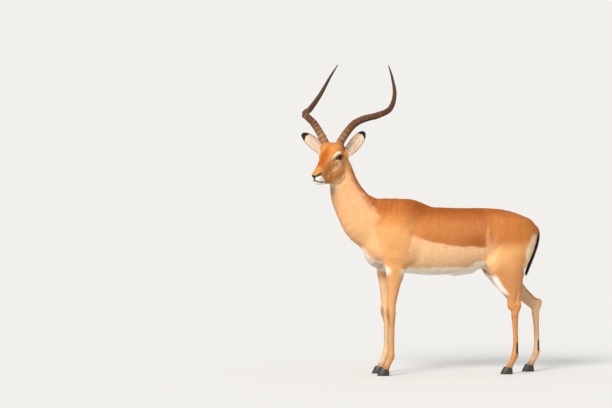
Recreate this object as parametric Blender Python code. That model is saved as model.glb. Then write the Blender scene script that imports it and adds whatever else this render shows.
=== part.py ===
"""Adult male impala, life size, standing still with its head turned to its left.

The flesh is one body field: lofted profiles, limbs and muscle masses joined by soft unions. The
field becomes one closed mesh, which is thinned and parted by thin planar cuts. Horns, ears, eyes,
tail and hooves are lofted pieces of their own, set in seats cut for them. Metres, +Z up, the head
towards -X, the animal's left side towards -Y, the soles on Z = 0.
"""

import math

import bmesh
import bpy
import numpy as np
from mathutils import Vector

# ---------------------------------------------------------------- driving dimensions
CUT = 0.0006  # width of the cuts that part the flesh
SEAT = 0.0008  # clearance round a piece that is set in the flesh
FIELD_STEP = 0.004
FLESH_TRIANGLES = 4500
FAR = 1.0  # field value where there is no flesh near

LEFT = np.array((0.0, -1.0, 0.0))
UP = np.array((0.0, 0.0, 1.0))
SIDES = {"left": -1.0, "right": 1.0}

HEAD_TURN = math.radians(49.0)  # from straight ahead towards the left
HEAD_PITCH = math.radians(13.2)  # palate below level
EYE_MIDPOINT = np.array((-0.633, -0.055, 1.1145))
EYE_RADIUS = 0.0175
EYE_PLACE = (0.0485, -0.008, -0.005)  # left, forward and up from the midpoint between the eyes


# ---------------------------------------------------------------- places in the head's frame
HEAD_AHEAD_LEVEL = np.array((-math.cos(HEAD_TURN), -math.sin(HEAD_TURN), 0.0))
HEAD_LEFT = np.array((math.sin(HEAD_TURN), -math.cos(HEAD_TURN), 0.0))
HEAD_AHEAD = HEAD_AHEAD_LEVEL * math.cos(HEAD_PITCH) - UP * math.sin(HEAD_PITCH)
HEAD_UP = HEAD_AHEAD_LEVEL * math.sin(HEAD_PITCH) + UP * math.cos(HEAD_PITCH)

# planes that part the flesh: legs from trunk, neck from trunk, head from neck, and the shanks
LEG_CUT_HEIGHT = 0.492
NECK_CUT_PLACE = (-0.395, 0.0, 0.750)
NECK_CUT_NORMAL = (-0.952, 0.0, 0.305)
HEAD_CUT_PLACE = (-0.5675, -0.0075, 1.0125)
HEAD_CUT_NORMAL = 0.68 * HEAD_AHEAD_LEVEL + 0.735 * UP
KNEE_CUT_HEIGHT = 0.288
HOCK_CUT_HEIGHT = 0.290


def in_head(left, ahead, up):
    """A point of the head, measured from between the eyes along the palate's frame."""
    return EYE_MIDPOINT + left * HEAD_LEFT + ahead * HEAD_AHEAD + up * HEAD_UP


def level_from_eyes(left, ahead, up):
    """A point measured from between the eyes along level axes that turn with the head."""
    return EYE_MIDPOINT + left * HEAD_LEFT + ahead * HEAD_AHEAD_LEVEL + up * UP


# ---------------------------------------------------------------- forms of the body field
class Tube:
    """A loft through stations: centre, half width, dorsal and ventral half depths, powers.

    Powers shape the dorsal and ventral halves of a section: 2 is an ellipse, less is a ridge.
    """

    def __init__(self, stations, blend, side=LEFT, samples=4):
        rows = [self.row(station, side) for station in stations]
        self.rows = smooth_rows(np.array(rows), samples)
        self.blend = blend
        reach = self.rows[:, 6:9].max() + blend
        self.low = self.rows[:, 0:3].min(axis=0) - reach
        self.high = self.rows[:, 0:3].max(axis=0) + reach

    @staticmethod
    def row(station, side):
        centre, width, dorsal, ventral = station[:4]
        powers = station[4] if len(station) > 4 else (2.0, 2.0)
        own_side = station[5] if len(station) > 5 else side
        return [*centre, *own_side, width, dorsal, ventral, *powers]

    def distance(self, points):
        nearest = np.full(len(points), FAR)
        for start, end in zip(self.rows[:-1], self.rows[1:]):
            reach = max(start[6:9].max(), end[6:9].max()) + self.blend
            low = np.minimum(start[0:3], end[0:3]) - reach
            high = np.maximum(start[0:3], end[0:3]) + reach
            near = np.all((points > low) & (points < high), axis=1)
            if near.any():
                found = self.segment_distance(points[near], start, end)
                nearest[near] = np.minimum(nearest[near], found)
        return nearest

    @staticmethod
    def segment_distance(points, start, end):
        axis = end[0:3] - start[0:3]
        length = np.linalg.norm(axis)
        along = np.clip((points - start[0:3]) @ axis / length**2, 0.0, 1.0)[:, None]
        row = start + along * (end - start)
        offset = points - row[:, 0:3]
        tangent = axis / length
        side = row[:, 3:6] - (row[:, 3:6] @ tangent)[:, None] * tangent
        side /= np.linalg.norm(side, axis=1)[:, None]
        dorsal_way = np.cross(tangent, side)
        across = np.abs(np.einsum("ij,ij->i", offset, side))
        height = np.einsum("ij,ij->i", offset, dorsal_way)
        past_end = np.abs(offset @ tangent)
        is_dorsal = height > 0
        depth = np.where(is_dorsal, row[:, 7], row[:, 8])
        power = np.where(is_dorsal, row[:, 9], row[:, 10])
        cap = np.minimum(row[:, 6], depth)
        ratio = ((across / row[:, 6]) ** power + (np.abs(height) / depth) ** power) ** (1.0 / power)
        ratio = np.sqrt(ratio**2 + (past_end / cap) ** 2) + 1e-6
        radius = np.linalg.norm(offset, axis=1) + 1e-6 * cap
        return radius - radius / ratio


class Mass:
    """An ellipsoid: a muscle, a joint or a cheek. Its first axis points along `way`."""

    def __init__(self, centre, radii, blend, way=(1.0, 0.0, 0.0), side=LEFT):
        self.centre = np.array(centre)
        self.radii = np.array(radii)
        self.blend = blend
        first = np.array(way) / np.linalg.norm(way)
        second = side - (side @ first) * first
        second /= np.linalg.norm(second)
        self.frame = np.array((first, second, np.cross(first, second)))
        reach = self.radii.max() + blend
        self.low = self.centre - reach
        self.high = self.centre + reach

    def distance(self, points):
        local = (points - self.centre) @ self.frame.T
        ratio = np.linalg.norm(local / self.radii, axis=1) + 1e-6
        radius = np.linalg.norm(local, axis=1) + 1e-7
        return radius - radius / ratio


class Stroke:
    """A soft ridge (positive height) or furrow (negative) laid along a line of points."""

    def __init__(self, points, height, radius):
        self.points = np.array(points)
        self.height = height
        self.radius = radius
        self.low = self.points.min(axis=0) - 2.5 * radius
        self.high = self.points.max(axis=0) + 2.5 * radius

    def lift(self, points):
        nearest = np.full(len(points), FAR)
        for start, end in zip(self.points[:-1], self.points[1:]):
            axis = end - start
            along = np.clip((points - start) @ axis / (axis @ axis), 0.0, 1.0)[:, None]
            gap = np.linalg.norm(points - start - along * axis, axis=1)
            nearest = np.minimum(nearest, gap)
        return self.height * np.exp(-((nearest / self.radius) ** 2))


def smooth_rows(rows, samples):
    """Catmull-Rom curve through rows of numbers, with samples steps between neighbours."""
    padded = np.vstack((2 * rows[0] - rows[1], rows, 2 * rows[-1] - rows[-2]))
    result = []
    for index in range(len(rows) - 1):
        before, start, end, after = padded[index:index + 4]
        for step in range(samples):
            t = step / samples
            result.append(0.5 * (2 * start + (end - before) * t
                                 + (2 * before - 5 * start + 4 * end - after) * t**2
                                 + (3 * start - 3 * end + after - before) * t**3))
    result.append(rows[-1])
    return np.array(result)


def apply_form(form, values, points):
    """The field's values at the points once the form is added."""
    if isinstance(form, Stroke):
        return values - form.lift(points)
    other = form.distance(points)
    overlap = np.maximum(form.blend - np.abs(values - other), 0.0) / form.blend
    return np.minimum(values, other) - 0.25 * form.blend * overlap**2


# ---------------------------------------------------------------- anatomy
def trunk_forms():
    # along the back from rump to breast: x, top, bottom, half width, widest level, powers
    profile = (
        (0.408, 0.772, 0.660, 0.050, 0.715, (2.0, 2.0)),
        (0.375, 0.797, 0.630, 0.080, 0.715, (1.9, 2.0)),
        (0.325, 0.820, 0.605, 0.100, 0.715, (1.8, 2.0)),
        (0.262, 0.841, 0.580, 0.110, 0.710, (1.8, 2.0)),
        (0.199, 0.848, 0.552, 0.116, 0.695, (1.9, 2.0)),
        (0.130, 0.848, 0.530, 0.124, 0.680, (2.0, 2.1)),
        (0.040, 0.848, 0.513, 0.131, 0.670, (2.0, 2.2)),
        (-0.060, 0.852, 0.503, 0.132, 0.670, (2.0, 2.1)),
        (-0.119, 0.857, 0.505, 0.128, 0.675, (1.9, 2.0)),
        (-0.182, 0.879, 0.511, 0.119, 0.680, (1.7, 1.9)),
        (-0.245, 0.899, 0.517, 0.108, 0.690, (1.6, 1.8)),
        (-0.300, 0.892, 0.520, 0.098, 0.700, (1.6, 1.8)),
        (-0.355, 0.862, 0.535, 0.085, 0.700, (1.8, 1.9)),
    )
    stations = [((x, 0.0, level), width, top - level, level - bottom, powers)
                for x, top, bottom, width, level, powers in profile]
    forms = [Tube(stations, 0.03, samples=3)]
    forms.append(Mass((-0.366, 0.0, 0.652), (0.098, 0.082, 0.075), 0.04, way=(0.45, 0.0, 1.0)))
    forms.append(Mass((-0.305, 0.0, 0.851), (0.085, 0.026, 0.040), 0.03))
    forms.append(Mass((0.215, 0.0, 0.545), (0.030, 0.026, 0.040), 0.025))
    sheath = [((0.105, 0.0, 0.530), 0.017, 0.02, 0.020), ((0.02, 0.0, 0.515), 0.013, 0.02, 0.014)]
    forms.append(Tube(sheath, 0.03))
    return forms


def cleft_forms():
    """The furrow between the buttocks, where the tail lies."""
    return [
        Stroke([(0.450, 0.0, 0.700), (0.425, 0.0, 0.610), (0.395, 0.0, 0.520)], -0.016, 0.020),
    ]


def neck_forms():
    turned = 0.55 * HEAD_LEFT + 0.45 * LEFT
    stations = [
        ((-0.255, 0.000, 0.700), 0.085, 0.170, 0.100),
        ((-0.337, 0.000, 0.724), 0.089, 0.164, 0.118),
        ((-0.435, 0.000, 0.775), 0.083, 0.134, 0.118, (1.8, 2.0)),
        ((-0.507, 0.000, 0.872), 0.071, 0.098, 0.098, (1.9, 2.0)),
        ((-0.539, 0.003, 0.950), 0.064, 0.075, 0.089, (2.0, 1.9), 0.3 * HEAD_LEFT + 0.7 * LEFT),
        ((-0.556, 0.014, 1.035), 0.057, 0.055, 0.072, (2.0, 1.9), turned),
        ((-0.580, 0.010, 1.095), 0.050, 0.046, 0.052, (2.0, 2.0), HEAD_LEFT),
    ]
    return [Tube(stations, 0.035)]


def head_forms():
    # along the skull from nape to nose: ahead, top, bottom, half width, widest level, powers
    profile = (
        (-0.104, 0.028, -0.060, 0.036, -0.010, (2.0, 2.0)),
        (-0.080, 0.050, -0.088, 0.045, -0.012, (2.0, 2.0)),
        (-0.050, 0.061, -0.106, 0.050, -0.014, (2.0, 1.9)),
        (-0.020, 0.060, -0.112, 0.052, -0.014, (2.1, 1.8)),
        (0.012, 0.040, -0.112, 0.049, -0.018, (2.2, 1.8)),
        (0.042, 0.017, -0.112, 0.0375, -0.030, (2.3, 1.8)),
        (0.074, 0.000, -0.107, 0.0305, -0.045, (2.3, 2.0)),
        (0.106, -0.018, -0.103, 0.029, -0.055, (2.3, 2.1)),
        (0.134, -0.033, -0.101, 0.0275, -0.062, (2.3, 2.2)),
        (0.148, -0.041, -0.099, 0.025, -0.066, (2.3, 2.2)),
    )
    stations = [(in_head(0.0, ahead, level), width, top - level, level - bottom, powers)
                for ahead, top, bottom, width, level, powers in profile]
    forms = [Tube(stations, 0.02, side=HEAD_LEFT)]
    throat = [(in_head(0.0, -0.075, -0.075), 0.045, 0.03, 0.052),
              (in_head(0.0, -0.020, -0.098), 0.036, 0.03, 0.044),
              (in_head(0.0, 0.060, -0.103), 0.024, 0.02, 0.024),
              (in_head(0.0, 0.125, -0.097), 0.018, 0.02, 0.015)]
    forms.append(Tube(throat, 0.03, side=HEAD_LEFT))
    forms.append(head_mass((0.0, 0.140, -0.093), (0.024, 0.0175, 0.012), 0.012))
    for hand in (1.0, -1.0):
        forms += [
            head_mass((0.033 * hand, -0.006, 0.004), (0.034, 0.0185, 0.026), 0.018),
            head_mass((0.031 * hand, -0.018, -0.070), (0.050, 0.020, 0.044), 0.018),
            head_mass((0.037 * hand, -0.034, 0.041), (0.038, 0.026, 0.027), 0.02),
            head_mass((0.047 * hand, -0.072, 0.000), (0.026, 0.022, 0.030), 0.02),
            head_mass((0.013 * hand, 0.146, -0.070), (0.022, 0.0155, 0.018), 0.012),
        ]
    return forms


def head_mass(place, radii, blend):
    """An ellipsoid of the head: half lengths ahead, sideways and up."""
    ahead, sideways, up = radii
    return Mass(in_head(*place), (ahead, sideways, up), blend, way=HEAD_AHEAD, side=HEAD_LEFT)


def face_forms():
    """Brow, cheek line, jaw edge, nostrils and mouth as soft ridges and furrows."""
    lines = (  # height, radius, places in the head's frame
        (0.0040, 0.0080, ((0.045, 0.030, 0.012), (0.056, 0.008, 0.020), (0.056, -0.020, 0.016))),
        (0.0030, 0.0080, ((0.044, 0.024, -0.022), (0.054, 0.000, -0.024), (0.056, -0.024, -0.016))),
        (-0.0050, 0.0120, ((0.052, -0.062, -0.030), (0.046, -0.072, -0.078), (0.030, -0.062, -0.118))),
        (-0.0030, 0.0100, ((0.040, 0.026, -0.040), (0.034, 0.056, -0.052), (0.030, 0.086, -0.060))),
        (-0.0050, 0.0045, ((0.0060, 0.171, -0.0610), (0.0165, 0.1625, -0.0560), (0.0262, 0.140, -0.0500))),
        (-0.0030, 0.0035, ((0.0, 0.1705, -0.0775), (0.010, 0.165, -0.0875), (0.019, 0.150, -0.0925),
                           (0.024, 0.120, -0.1005), (0.0235, 0.095, -0.1075))),
    )
    forms = []
    for height, radius, places in lines:
        for hand in (1.0, -1.0):
            points = [in_head(hand * left, ahead, up) for left, ahead, up in places]
            forms.append(Stroke(points, height, radius))
    return forms


def foreleg_forms(name):
    side = SIDES[name]
    knee_x = {"left": -0.322, "right": -0.318}[name]
    top_x = {"left": -0.304, "right": -0.318}[name]
    y = side * 0.088
    foot_y = side * 0.083
    blade = [
        ((-0.205, side * 0.052, 0.835), 0.024, 0.055, 0.045),
        ((-0.255, side * 0.072, 0.765), 0.030, 0.062, 0.050),
        ((-0.315, side * 0.082, 0.690), 0.034, 0.060, 0.050),
        ((-0.362, side * 0.080, 0.625), 0.034, 0.048, 0.045),
    ]
    forms = [
        Tube(blade, 0.05),
        Mass((top_x + 0.030, side * 0.088, 0.640), (0.095, 0.036, 0.074), 0.045, way=(0.4, 0.0, 1.0)),
    ]
    upper = [
        ((top_x + 0.004, side * 0.088, 0.600), 0.038, 0.060, 0.058),
        ((top_x, y, 0.525), 0.033, 0.048, 0.052),
        ((top_x * 0.7 + knee_x * 0.3, y, 0.465), 0.0275, 0.036, 0.037),
        ((top_x * 0.35 + knee_x * 0.65, y, 0.400), 0.0225, 0.026, 0.027),
        ((knee_x, side * 0.087, 0.355), 0.0215, 0.0235, 0.0245),
        ((knee_x, side * 0.086, 0.318), 0.0235, 0.0255, 0.0235),
        ((knee_x + 0.001, side * 0.086, 0.288), 0.0190, 0.0190, 0.0215),
        ((knee_x + 0.003, side * 0.085, 0.255), 0.0140, 0.0140, 0.0175),
        ((knee_x + 0.003, side * 0.084, 0.180), 0.0125, 0.0130, 0.0160),
        ((knee_x + 0.001, foot_y, 0.128), 0.0140, 0.0140, 0.0175),
        ((knee_x - 0.002, foot_y, 0.100), 0.0185, 0.0165, 0.0225),
        ((knee_x - 0.010, foot_y, 0.075), 0.0165, 0.0150, 0.0185),
        ((knee_x - 0.019, foot_y, 0.054), 0.0170, 0.0160, 0.0180),
        ((knee_x - 0.027, foot_y, 0.034), 0.0205, 0.0200, 0.0200),
    ]
    forms.append(Tube(upper, 0.025))
    return forms


# how the hind legs stand: the left forward of the right
HOCK_X = {"left": 0.312, "right": 0.459}
GASKINS = {  # down each leg from the stifle: x, height, half width, half depths before and behind
    "left": ((0.285, 0.560, 0.0430, 0.102, 0.088), (0.287, 0.512, 0.0380, 0.094, 0.084),
             (0.297, 0.455, 0.0310, 0.070, 0.063), (0.311, 0.400, 0.0235, 0.040, 0.036)),
    "right": ((0.262, 0.560, 0.0430, 0.078, 0.090), (0.277, 0.515, 0.0370, 0.070, 0.069),
              (0.322, 0.455, 0.0300, 0.056, 0.045), (0.391, 0.400, 0.0225, 0.034, 0.030)),
}
TENDON_X = {  # places of the tendon above the hock, from HOCK_X
    "left": (0.031, 0.031, 0.029, 0.025, 0.020),
    "right": (-0.084, -0.055, -0.026, 0.000, 0.020),
}


def hindleg_forms(name):
    side = SIDES[name]
    hock_x = HOCK_X[name]
    y = side * 0.088
    foot_y = side * 0.080
    thigh = [
        ((0.335, side * 0.060, 0.760), 0.050, 0.120, 0.080),
        ((0.322, side * 0.070, 0.690), 0.054, 0.130, 0.104),
        ((0.308, side * 0.078, 0.620), 0.050, 0.112, 0.100),
    ]
    thigh += [((x, y, z), *size) for x, z, *size in GASKINS[name]]
    thigh.append(((hock_x - 0.009, y, 0.346), 0.0195, 0.0235, 0.028))
    tendon_sizes = (  # height, half width, half depths before and behind
        (0.475, 0.0160, 0.0200, 0.0120),
        (0.430, 0.0120, 0.0170, 0.0110),
        (0.400, 0.0100, 0.0150, 0.0100),
        (0.375, 0.0100, 0.0150, 0.0095),
        (0.357, 0.0110, 0.0140, 0.0110),
    )
    tendon = [((hock_x + x, y, z), *size) for x, (z, *size) in zip(TENDON_X[name], tendon_sizes)]
    shank = [
        ((hock_x + 0.030, y, 0.361), 0.0115, 0.0150, 0.0100),
        ((hock_x + 0.028, y, 0.343), 0.0165, 0.0300, 0.0120),
        ((hock_x + 0.011, y, 0.310), 0.0188, 0.0240, 0.0180),
        ((hock_x + 0.009, side * 0.086, 0.276), 0.0160, 0.0185, 0.0180),
        ((hock_x + 0.010, side * 0.085, 0.230), 0.0135, 0.0142, 0.0165),
        ((hock_x + 0.012, side * 0.083, 0.165), 0.0128, 0.0135, 0.0165),
        ((hock_x + 0.010, foot_y, 0.125), 0.0145, 0.0145, 0.0185),
        ((hock_x + 0.007, foot_y, 0.098), 0.0190, 0.0170, 0.0230),
        ((hock_x - 0.002, foot_y, 0.073), 0.0168, 0.0155, 0.0185),
        ((hock_x - 0.012, foot_y, 0.053), 0.0170, 0.0160, 0.0180),
        ((hock_x - 0.020, foot_y, 0.034), 0.0205, 0.0200, 0.0200),
    ]
    return [
        Tube(thigh, 0.035),
        Tube(tendon, 0.018),
        Mass((0.372, side * 0.050, 0.680), (0.105, 0.050, 0.056), 0.03, way=(0.22, 0.0, 1.0)),
        Mass((0.228, side * 0.088, 0.560), (0.050, 0.034, 0.040), 0.03, way=(0.4, 0.0, 1.0)),
        Tube(shank, 0.018),
    ]


def body_forms():
    forms = trunk_forms() + neck_forms() + head_forms()
    for name in SIDES:
        forms += foreleg_forms(name) + hindleg_forms(name)
    return forms + cleft_forms() + face_forms()


# ---------------------------------------------------------------- field to mesh
def field_at(forms, points):
    """The whole body field at loose points."""
    values = np.full(len(points), FAR)
    for form in forms:
        near = np.all((points > form.low) & (points < form.high), axis=1)
        if near.any():
            values[near] = apply_form(form, values[near], points[near])
    return values


def block_points(low, step, blocks, size):
    """The grid points of cubic blocks, each of size points a side."""
    inner = np.stack(np.meshgrid(*[np.arange(size)] * 3, indexing="ij"), axis=-1).reshape(1, -1, 3)
    index = (blocks[:, None, :] * size + inner).reshape(-1, 3)
    return index, low + step * index


def sampled_field(forms, step, size=5):
    """The field on a grid, worked out only in the blocks that the surface may cross."""
    low = np.min([form.low for form in forms], axis=0)
    high = np.max([form.high for form in forms], axis=0)
    block_shape = np.ceil((high - low) / (step * size)).astype(int)
    blocks = np.argwhere(np.ones(block_shape, dtype=bool))
    middles = low + step * (blocks * size + (size - 1) / 2)
    rough = field_at(forms, middles)
    near = np.abs(rough) < 2.2 * step * size
    values = np.where(rough.reshape(block_shape) < 0, -FAR, FAR)
    for axis in range(3):
        values = np.repeat(values, size, axis=axis)
    index, points = block_points(low, step, blocks[near], size)
    values[tuple(index.T)] = field_at(forms, points)
    return values, low


def surface_net(values, low, step):
    """Vertices and quads of the surface where the field is zero, faces outwards."""
    inside = values < 0
    cells = np.zeros(np.array(values.shape) - 1, dtype=bool)
    corner_slices = (slice(0, -1), slice(1, None))
    reference = inside[:-1, :-1, :-1]
    for i in (0, 1):
        for j in (0, 1):
            for k in (0, 1):
                corner = inside[corner_slices[i], corner_slices[j], corner_slices[k]]
                cells |= corner != reference
    number = np.full(cells.shape, -1)
    number[cells] = np.arange(cells.sum())
    total = np.zeros((cells.sum(), 3))
    count = np.zeros(cells.sum())
    quads = []
    for axis in range(3):
        near = [slice(None)] * 3
        beyond = [slice(None)] * 3
        near[axis] = slice(0, -1)
        beyond[axis] = slice(1, None)
        start, end = values[tuple(near)], values[tuple(beyond)]
        edges = np.argwhere((start < 0) != (end < 0))
        index = tuple(edges.T)
        places = edges.astype(float)
        places[:, axis] += start[index] / (start[index] - end[index])
        ring = []
        second, third = (axis + 1) % 3, (axis + 2) % 3
        for a, b in ((1, 1), (0, 1), (0, 0), (1, 0)):
            cell = edges.copy()
            cell[:, second] -= a
            cell[:, third] -= b
            ids = number[tuple(cell.T)]
            ring.append(ids)
            count += np.bincount(ids, minlength=len(count))
            for i in range(3):
                total[:, i] += np.bincount(ids, weights=places[:, i], minlength=len(count))
        ring = np.array(ring).T
        outward = start[index] < 0
        quads.append(np.where(outward[:, None], ring, ring[:, ::-1]))
    return low + step * total / count[:, None], np.vstack(quads)


def grid_faces(rows, columns, closed):
    """Quads of a grid of points, row by row; closed joins the last column to the first."""
    faces = []
    for row in range(rows - 1):
        for column in range(columns if closed else columns - 1):
            following = (column + 1) % columns
            faces.append((row * columns + column, row * columns + following,
                          (row + 1) * columns + following, (row + 1) * columns + column))
    return faces


def mesh_object(name, vertices, faces, material=None):
    """An object from points and faces, with its faces turned outwards."""
    mesh = bpy.data.meshes.new(name)
    mesh.from_pydata([tuple(vertex) for vertex in vertices], [], [tuple(face) for face in faces])
    shape = bmesh.new()
    shape.from_mesh(mesh)
    bmesh.ops.recalc_face_normals(shape, faces=shape.faces)
    shape.to_mesh(mesh)
    shape.free()
    result = bpy.data.objects.new(name, mesh)
    bpy.context.scene.collection.objects.link(result)
    if material:
        mesh.materials.append(material)
    mesh.shade_smooth()
    return result


def swept_object(name, path, radii, across, sides, material, deeper=0.0):
    """A closed tube along a path; radii gives each ring's half sizes across and in depth.

    The first ring lies deeper by that much, for a seat that clears the piece's foot.
    """
    vertices = []
    path = np.array(path)
    path[0] -= deeper * (path[1] - path[0]) / np.linalg.norm(path[1] - path[0])
    for index, centre in enumerate(path):
        tangent = path[min(index + 1, len(path) - 1)] - path[max(index - 1, 0)]
        tangent /= np.linalg.norm(tangent)
        first = across - (across @ tangent) * tangent
        first /= np.linalg.norm(first)
        second = np.cross(tangent, first)
        for turn in np.linspace(0.0, 2 * math.pi, sides, endpoint=False):
            vertices.append(centre + radii[index][0] * math.cos(turn) * first
                            + radii[index][1] * math.sin(turn) * second)
    faces = grid_faces(len(path), sides, closed=True)
    faces.append(range(sides))
    faces.append(range((len(path) - 1) * sides, len(path) * sides))
    return mesh_object(name, vertices, faces, material)


# ---------------------------------------------------------------- materials
def material(name, colour, roughness):
    result = bpy.data.materials.new(name)
    result.use_nodes = True
    shader = result.node_tree.nodes["Principled BSDF"]
    shader.inputs["Base Color"].default_value = (*colour, 1.0)
    shader.inputs["Roughness"].default_value = roughness
    shader.inputs["Metallic"].default_value = 0.0
    return result


# ---------------------------------------------------------------- flesh
def flesh_mesh():
    """The whole flesh as one thinned mesh, with finer faces on the head and lower legs."""
    values, low = sampled_field(body_forms(), FIELD_STEP)
    vertices, faces = surface_net(values, low, FIELD_STEP)
    flesh = mesh_object("flesh", vertices, faces)
    relax = flesh.modifiers.new("relax", "SMOOTH")
    relax.factor = 0.5
    relax.iterations = 2
    coarse = flesh.vertex_groups.new(name="coarse")
    for index, vertex in enumerate(vertices):
        is_head = (vertex - EYE_MIDPOINT) @ HEAD_AHEAD > -0.09 and vertex[2] > 0.95
        is_shank = vertex[2] < 0.42
        coarse.add([index], 0.35 if is_head else 0.7 if is_shank else 1.0, "REPLACE")
    thin = flesh.modifiers.new("thin", "DECIMATE")
    thin.vertex_group = "coarse"
    thin.vertex_group_factor = 1.0
    thin.ratio = FLESH_TRIANGLES / (2 * len(faces))
    bpy.context.view_layer.update()
    evaluated = flesh.evaluated_get(bpy.context.evaluated_depsgraph_get())
    result = bmesh.new()
    result.from_mesh(evaluated.to_mesh())
    bpy.data.objects.remove(flesh)
    pinched = [edge for edge in result.edges if not edge.is_manifold]
    bmesh.ops.collapse(result, edges=pinched)
    bmesh.ops.dissolve_degenerate(result, dist=1e-5, edges=result.edges)
    return result


def parted(shape, point, normal):
    """Cuts a closed shape by a plane: what lies on the normal's side, and what lies behind."""
    normal = Vector(normal).normalized()
    parts = []
    for sign in (1.0, -1.0):
        part = shape.copy()
        everything = [*part.verts, *part.edges, *part.faces]
        cut = bmesh.ops.bisect_plane(part, geom=everything, dist=1e-6,
                                     plane_co=Vector(point) + normal * sign * CUT / 2,
                                     plane_no=normal * sign, clear_inner=True)
        rim = [edge for edge in cut["geom_cut"] if isinstance(edge, bmesh.types.BMEdge)]
        bmesh.ops.holes_fill(part, edges=rim, sides=0)
        bmesh.ops.triangulate(part, faces=[face for face in part.faces if len(face.verts) > 4])
        parts.append(part)
    shape.free()
    return parts


def islands(shape):
    """The shape's separate closed pieces, each with its middle."""
    pieces = []
    waiting = set(shape.verts)
    while waiting:
        seed = waiting.pop()
        found = {seed}
        front = [seed]
        while front:
            vertex = front.pop()
            for edge in vertex.link_edges:
                other = edge.other_vert(vertex)
                if other not in found:
                    found.add(other)
                    front.append(other)
        waiting -= found
        keep = {vertex.index for vertex in found}
        piece = shape.copy()
        piece.verts.ensure_lookup_table()
        lost = [vertex for vertex in piece.verts if vertex.index not in keep]
        bmesh.ops.delete(piece, geom=lost, context="VERTS")
        middle = sum((vertex.co for vertex in piece.verts), Vector()) / len(piece.verts)
        pieces.append((piece, middle))
    shape.free()
    return pieces


def flesh_object(name, shape, coat):
    mesh = bpy.data.meshes.new(name)
    shape.to_mesh(mesh)
    shape.free()
    result = bpy.data.objects.new(name, mesh)
    bpy.context.scene.collection.objects.link(result)
    mesh.materials.append(coat)
    mesh.shade_smooth()
    mesh.set_sharp_from_angle(angle=math.radians(50))
    return result


def build_flesh(coat):
    """Head, neck, trunk and the legs' lengths, parted by thin planar cuts."""
    shape = flesh_mesh()
    shape.verts.index_update()
    legs, body = parted(shape, (0.0, 0.0, LEG_CUT_HEIGHT), (0.0, 0.0, -1.0))
    front, trunk = parted(body, NECK_CUT_PLACE, NECK_CUT_NORMAL)
    head, neck = parted(front, HEAD_CUT_PLACE, HEAD_CUT_NORMAL)
    objects = {"trunk": flesh_object("trunk", trunk, coat),
               "neck": flesh_object("neck", neck, coat),
               "head": flesh_object("head", head, coat)}
    legs.verts.index_update()
    for leg, middle in islands(legs):
        side = "left" if middle.y < 0 else "right"
        is_front = middle.x < 0
        limb, upper_part = ("foreleg", "forearm") if is_front else ("hindleg", "gaskin")
        cut_height = KNEE_CUT_HEIGHT if is_front else HOCK_CUT_HEIGHT
        coronet = coronet_place(limb, side)
        leg, foot = parted(leg, coronet, CORONET_NORMAL)
        foot.free()
        upper, lower = parted(leg, (0.0, 0.0, cut_height), (0.0, 0.0, 1.0))
        flesh_object(f"{limb}_{side}_{upper_part}", upper, coat)
        flesh_object(f"{limb}_{side}_cannon", lower, coat)
    return objects


# ---------------------------------------------------------------- horns
def horn_path(hand, samples=4):
    """The lyre-shaped line of a horn's centre: out, back, then up and in to the tip."""
    turns = (  # left of the middle, ahead of and above the eyes, level
        (0.036, -0.030, 0.052),
        (0.058, -0.028, 0.092),
        (0.1125, -0.039, 0.160),
        (0.162, -0.062, 0.191),
        (0.213, -0.112, 0.209),
        (0.233, -0.205, 0.240),
        (0.218, -0.278, 0.312),
        (0.184, -0.312, 0.396),
        (0.150, -0.333, 0.459),
    )
    points = np.array([level_from_eyes(hand * left, ahead, up) for left, ahead, up in turns])
    return smooth_rows(points, samples)


def horn_radius(share):
    """Half the horn's thickness at a share of its length."""
    shares = (0.0, 0.08, 0.30, 0.55, 0.75, 0.92, 1.0)
    radii = (0.0212, 0.0204, 0.0178, 0.0146, 0.0106, 0.0056, 0.0022)
    return float(np.interp(share, shares, radii))


def shares_along(path):
    steps = np.linalg.norm(np.diff(path, axis=0), axis=1)
    run = np.concatenate(([0.0], np.cumsum(steps)))
    return run / run[-1]


def build_horn(name, hand, keratin, swell=0.0):
    path = horn_path(hand, samples=3)
    radii = [(horn_radius(share) + swell, horn_radius(share) + swell) for share in shares_along(path)]
    return swept_object(name, path, radii, HEAD_AHEAD_LEVEL, 12, keratin, deeper=swell)


# ---------------------------------------------------------------- ears
EAR_ROOTS = {"left": (0.050, -0.074, 0.002), "right": (-0.050, -0.072, 0.010)}
EAR_TIPS = {"left": (0.165, -0.060, 0.124), "right": (-0.177, -0.020, 0.111)}
EAR_SET = 0.55  # how far the cup's rim stands in front of its axis, in cup radii
EAR_FACING = {"left": (0.35, 0.92, 0.0), "right": (0.10, 0.99, 0.0)}


def ear_section(share):
    """Half width, wrap angle and thickness of the ear at a share of its length.

    The root is a solid plug, thicker than it is wide; above it the ear opens into a thin cup.
    """
    shares = (0.0, 0.08, 0.20, 0.35, 0.55, 0.75, 0.90, 1.0)
    half_width = np.interp(share, shares, (0.014, 0.018, 0.025, 0.030, 0.032, 0.028, 0.020, 0.007))
    wrap = np.interp(share, shares, (1.57, 1.57, 1.60, 1.25, 1.00, 0.85, 0.75, 0.70))
    thickness = np.interp(share, shares, (0.026, 0.033, 0.006, 0.004, 0.0036, 0.0032, 0.003, 0.0026))
    return half_width, wrap, thickness


def ear_frame(name):
    """Root and tip of an ear, the way across it, and the way its cup faces."""
    root = level_from_eyes(*EAR_ROOTS[name])
    tip = level_from_eyes(*EAR_TIPS[name])
    axis = (tip - root) / np.linalg.norm(tip - root)
    left, ahead, up = EAR_FACING[name]
    facing = left * HEAD_LEFT + ahead * HEAD_AHEAD_LEVEL + up * UP
    facing -= (facing @ axis) * axis
    facing /= np.linalg.norm(facing)
    return root, tip, np.cross(axis, facing), facing


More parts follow.
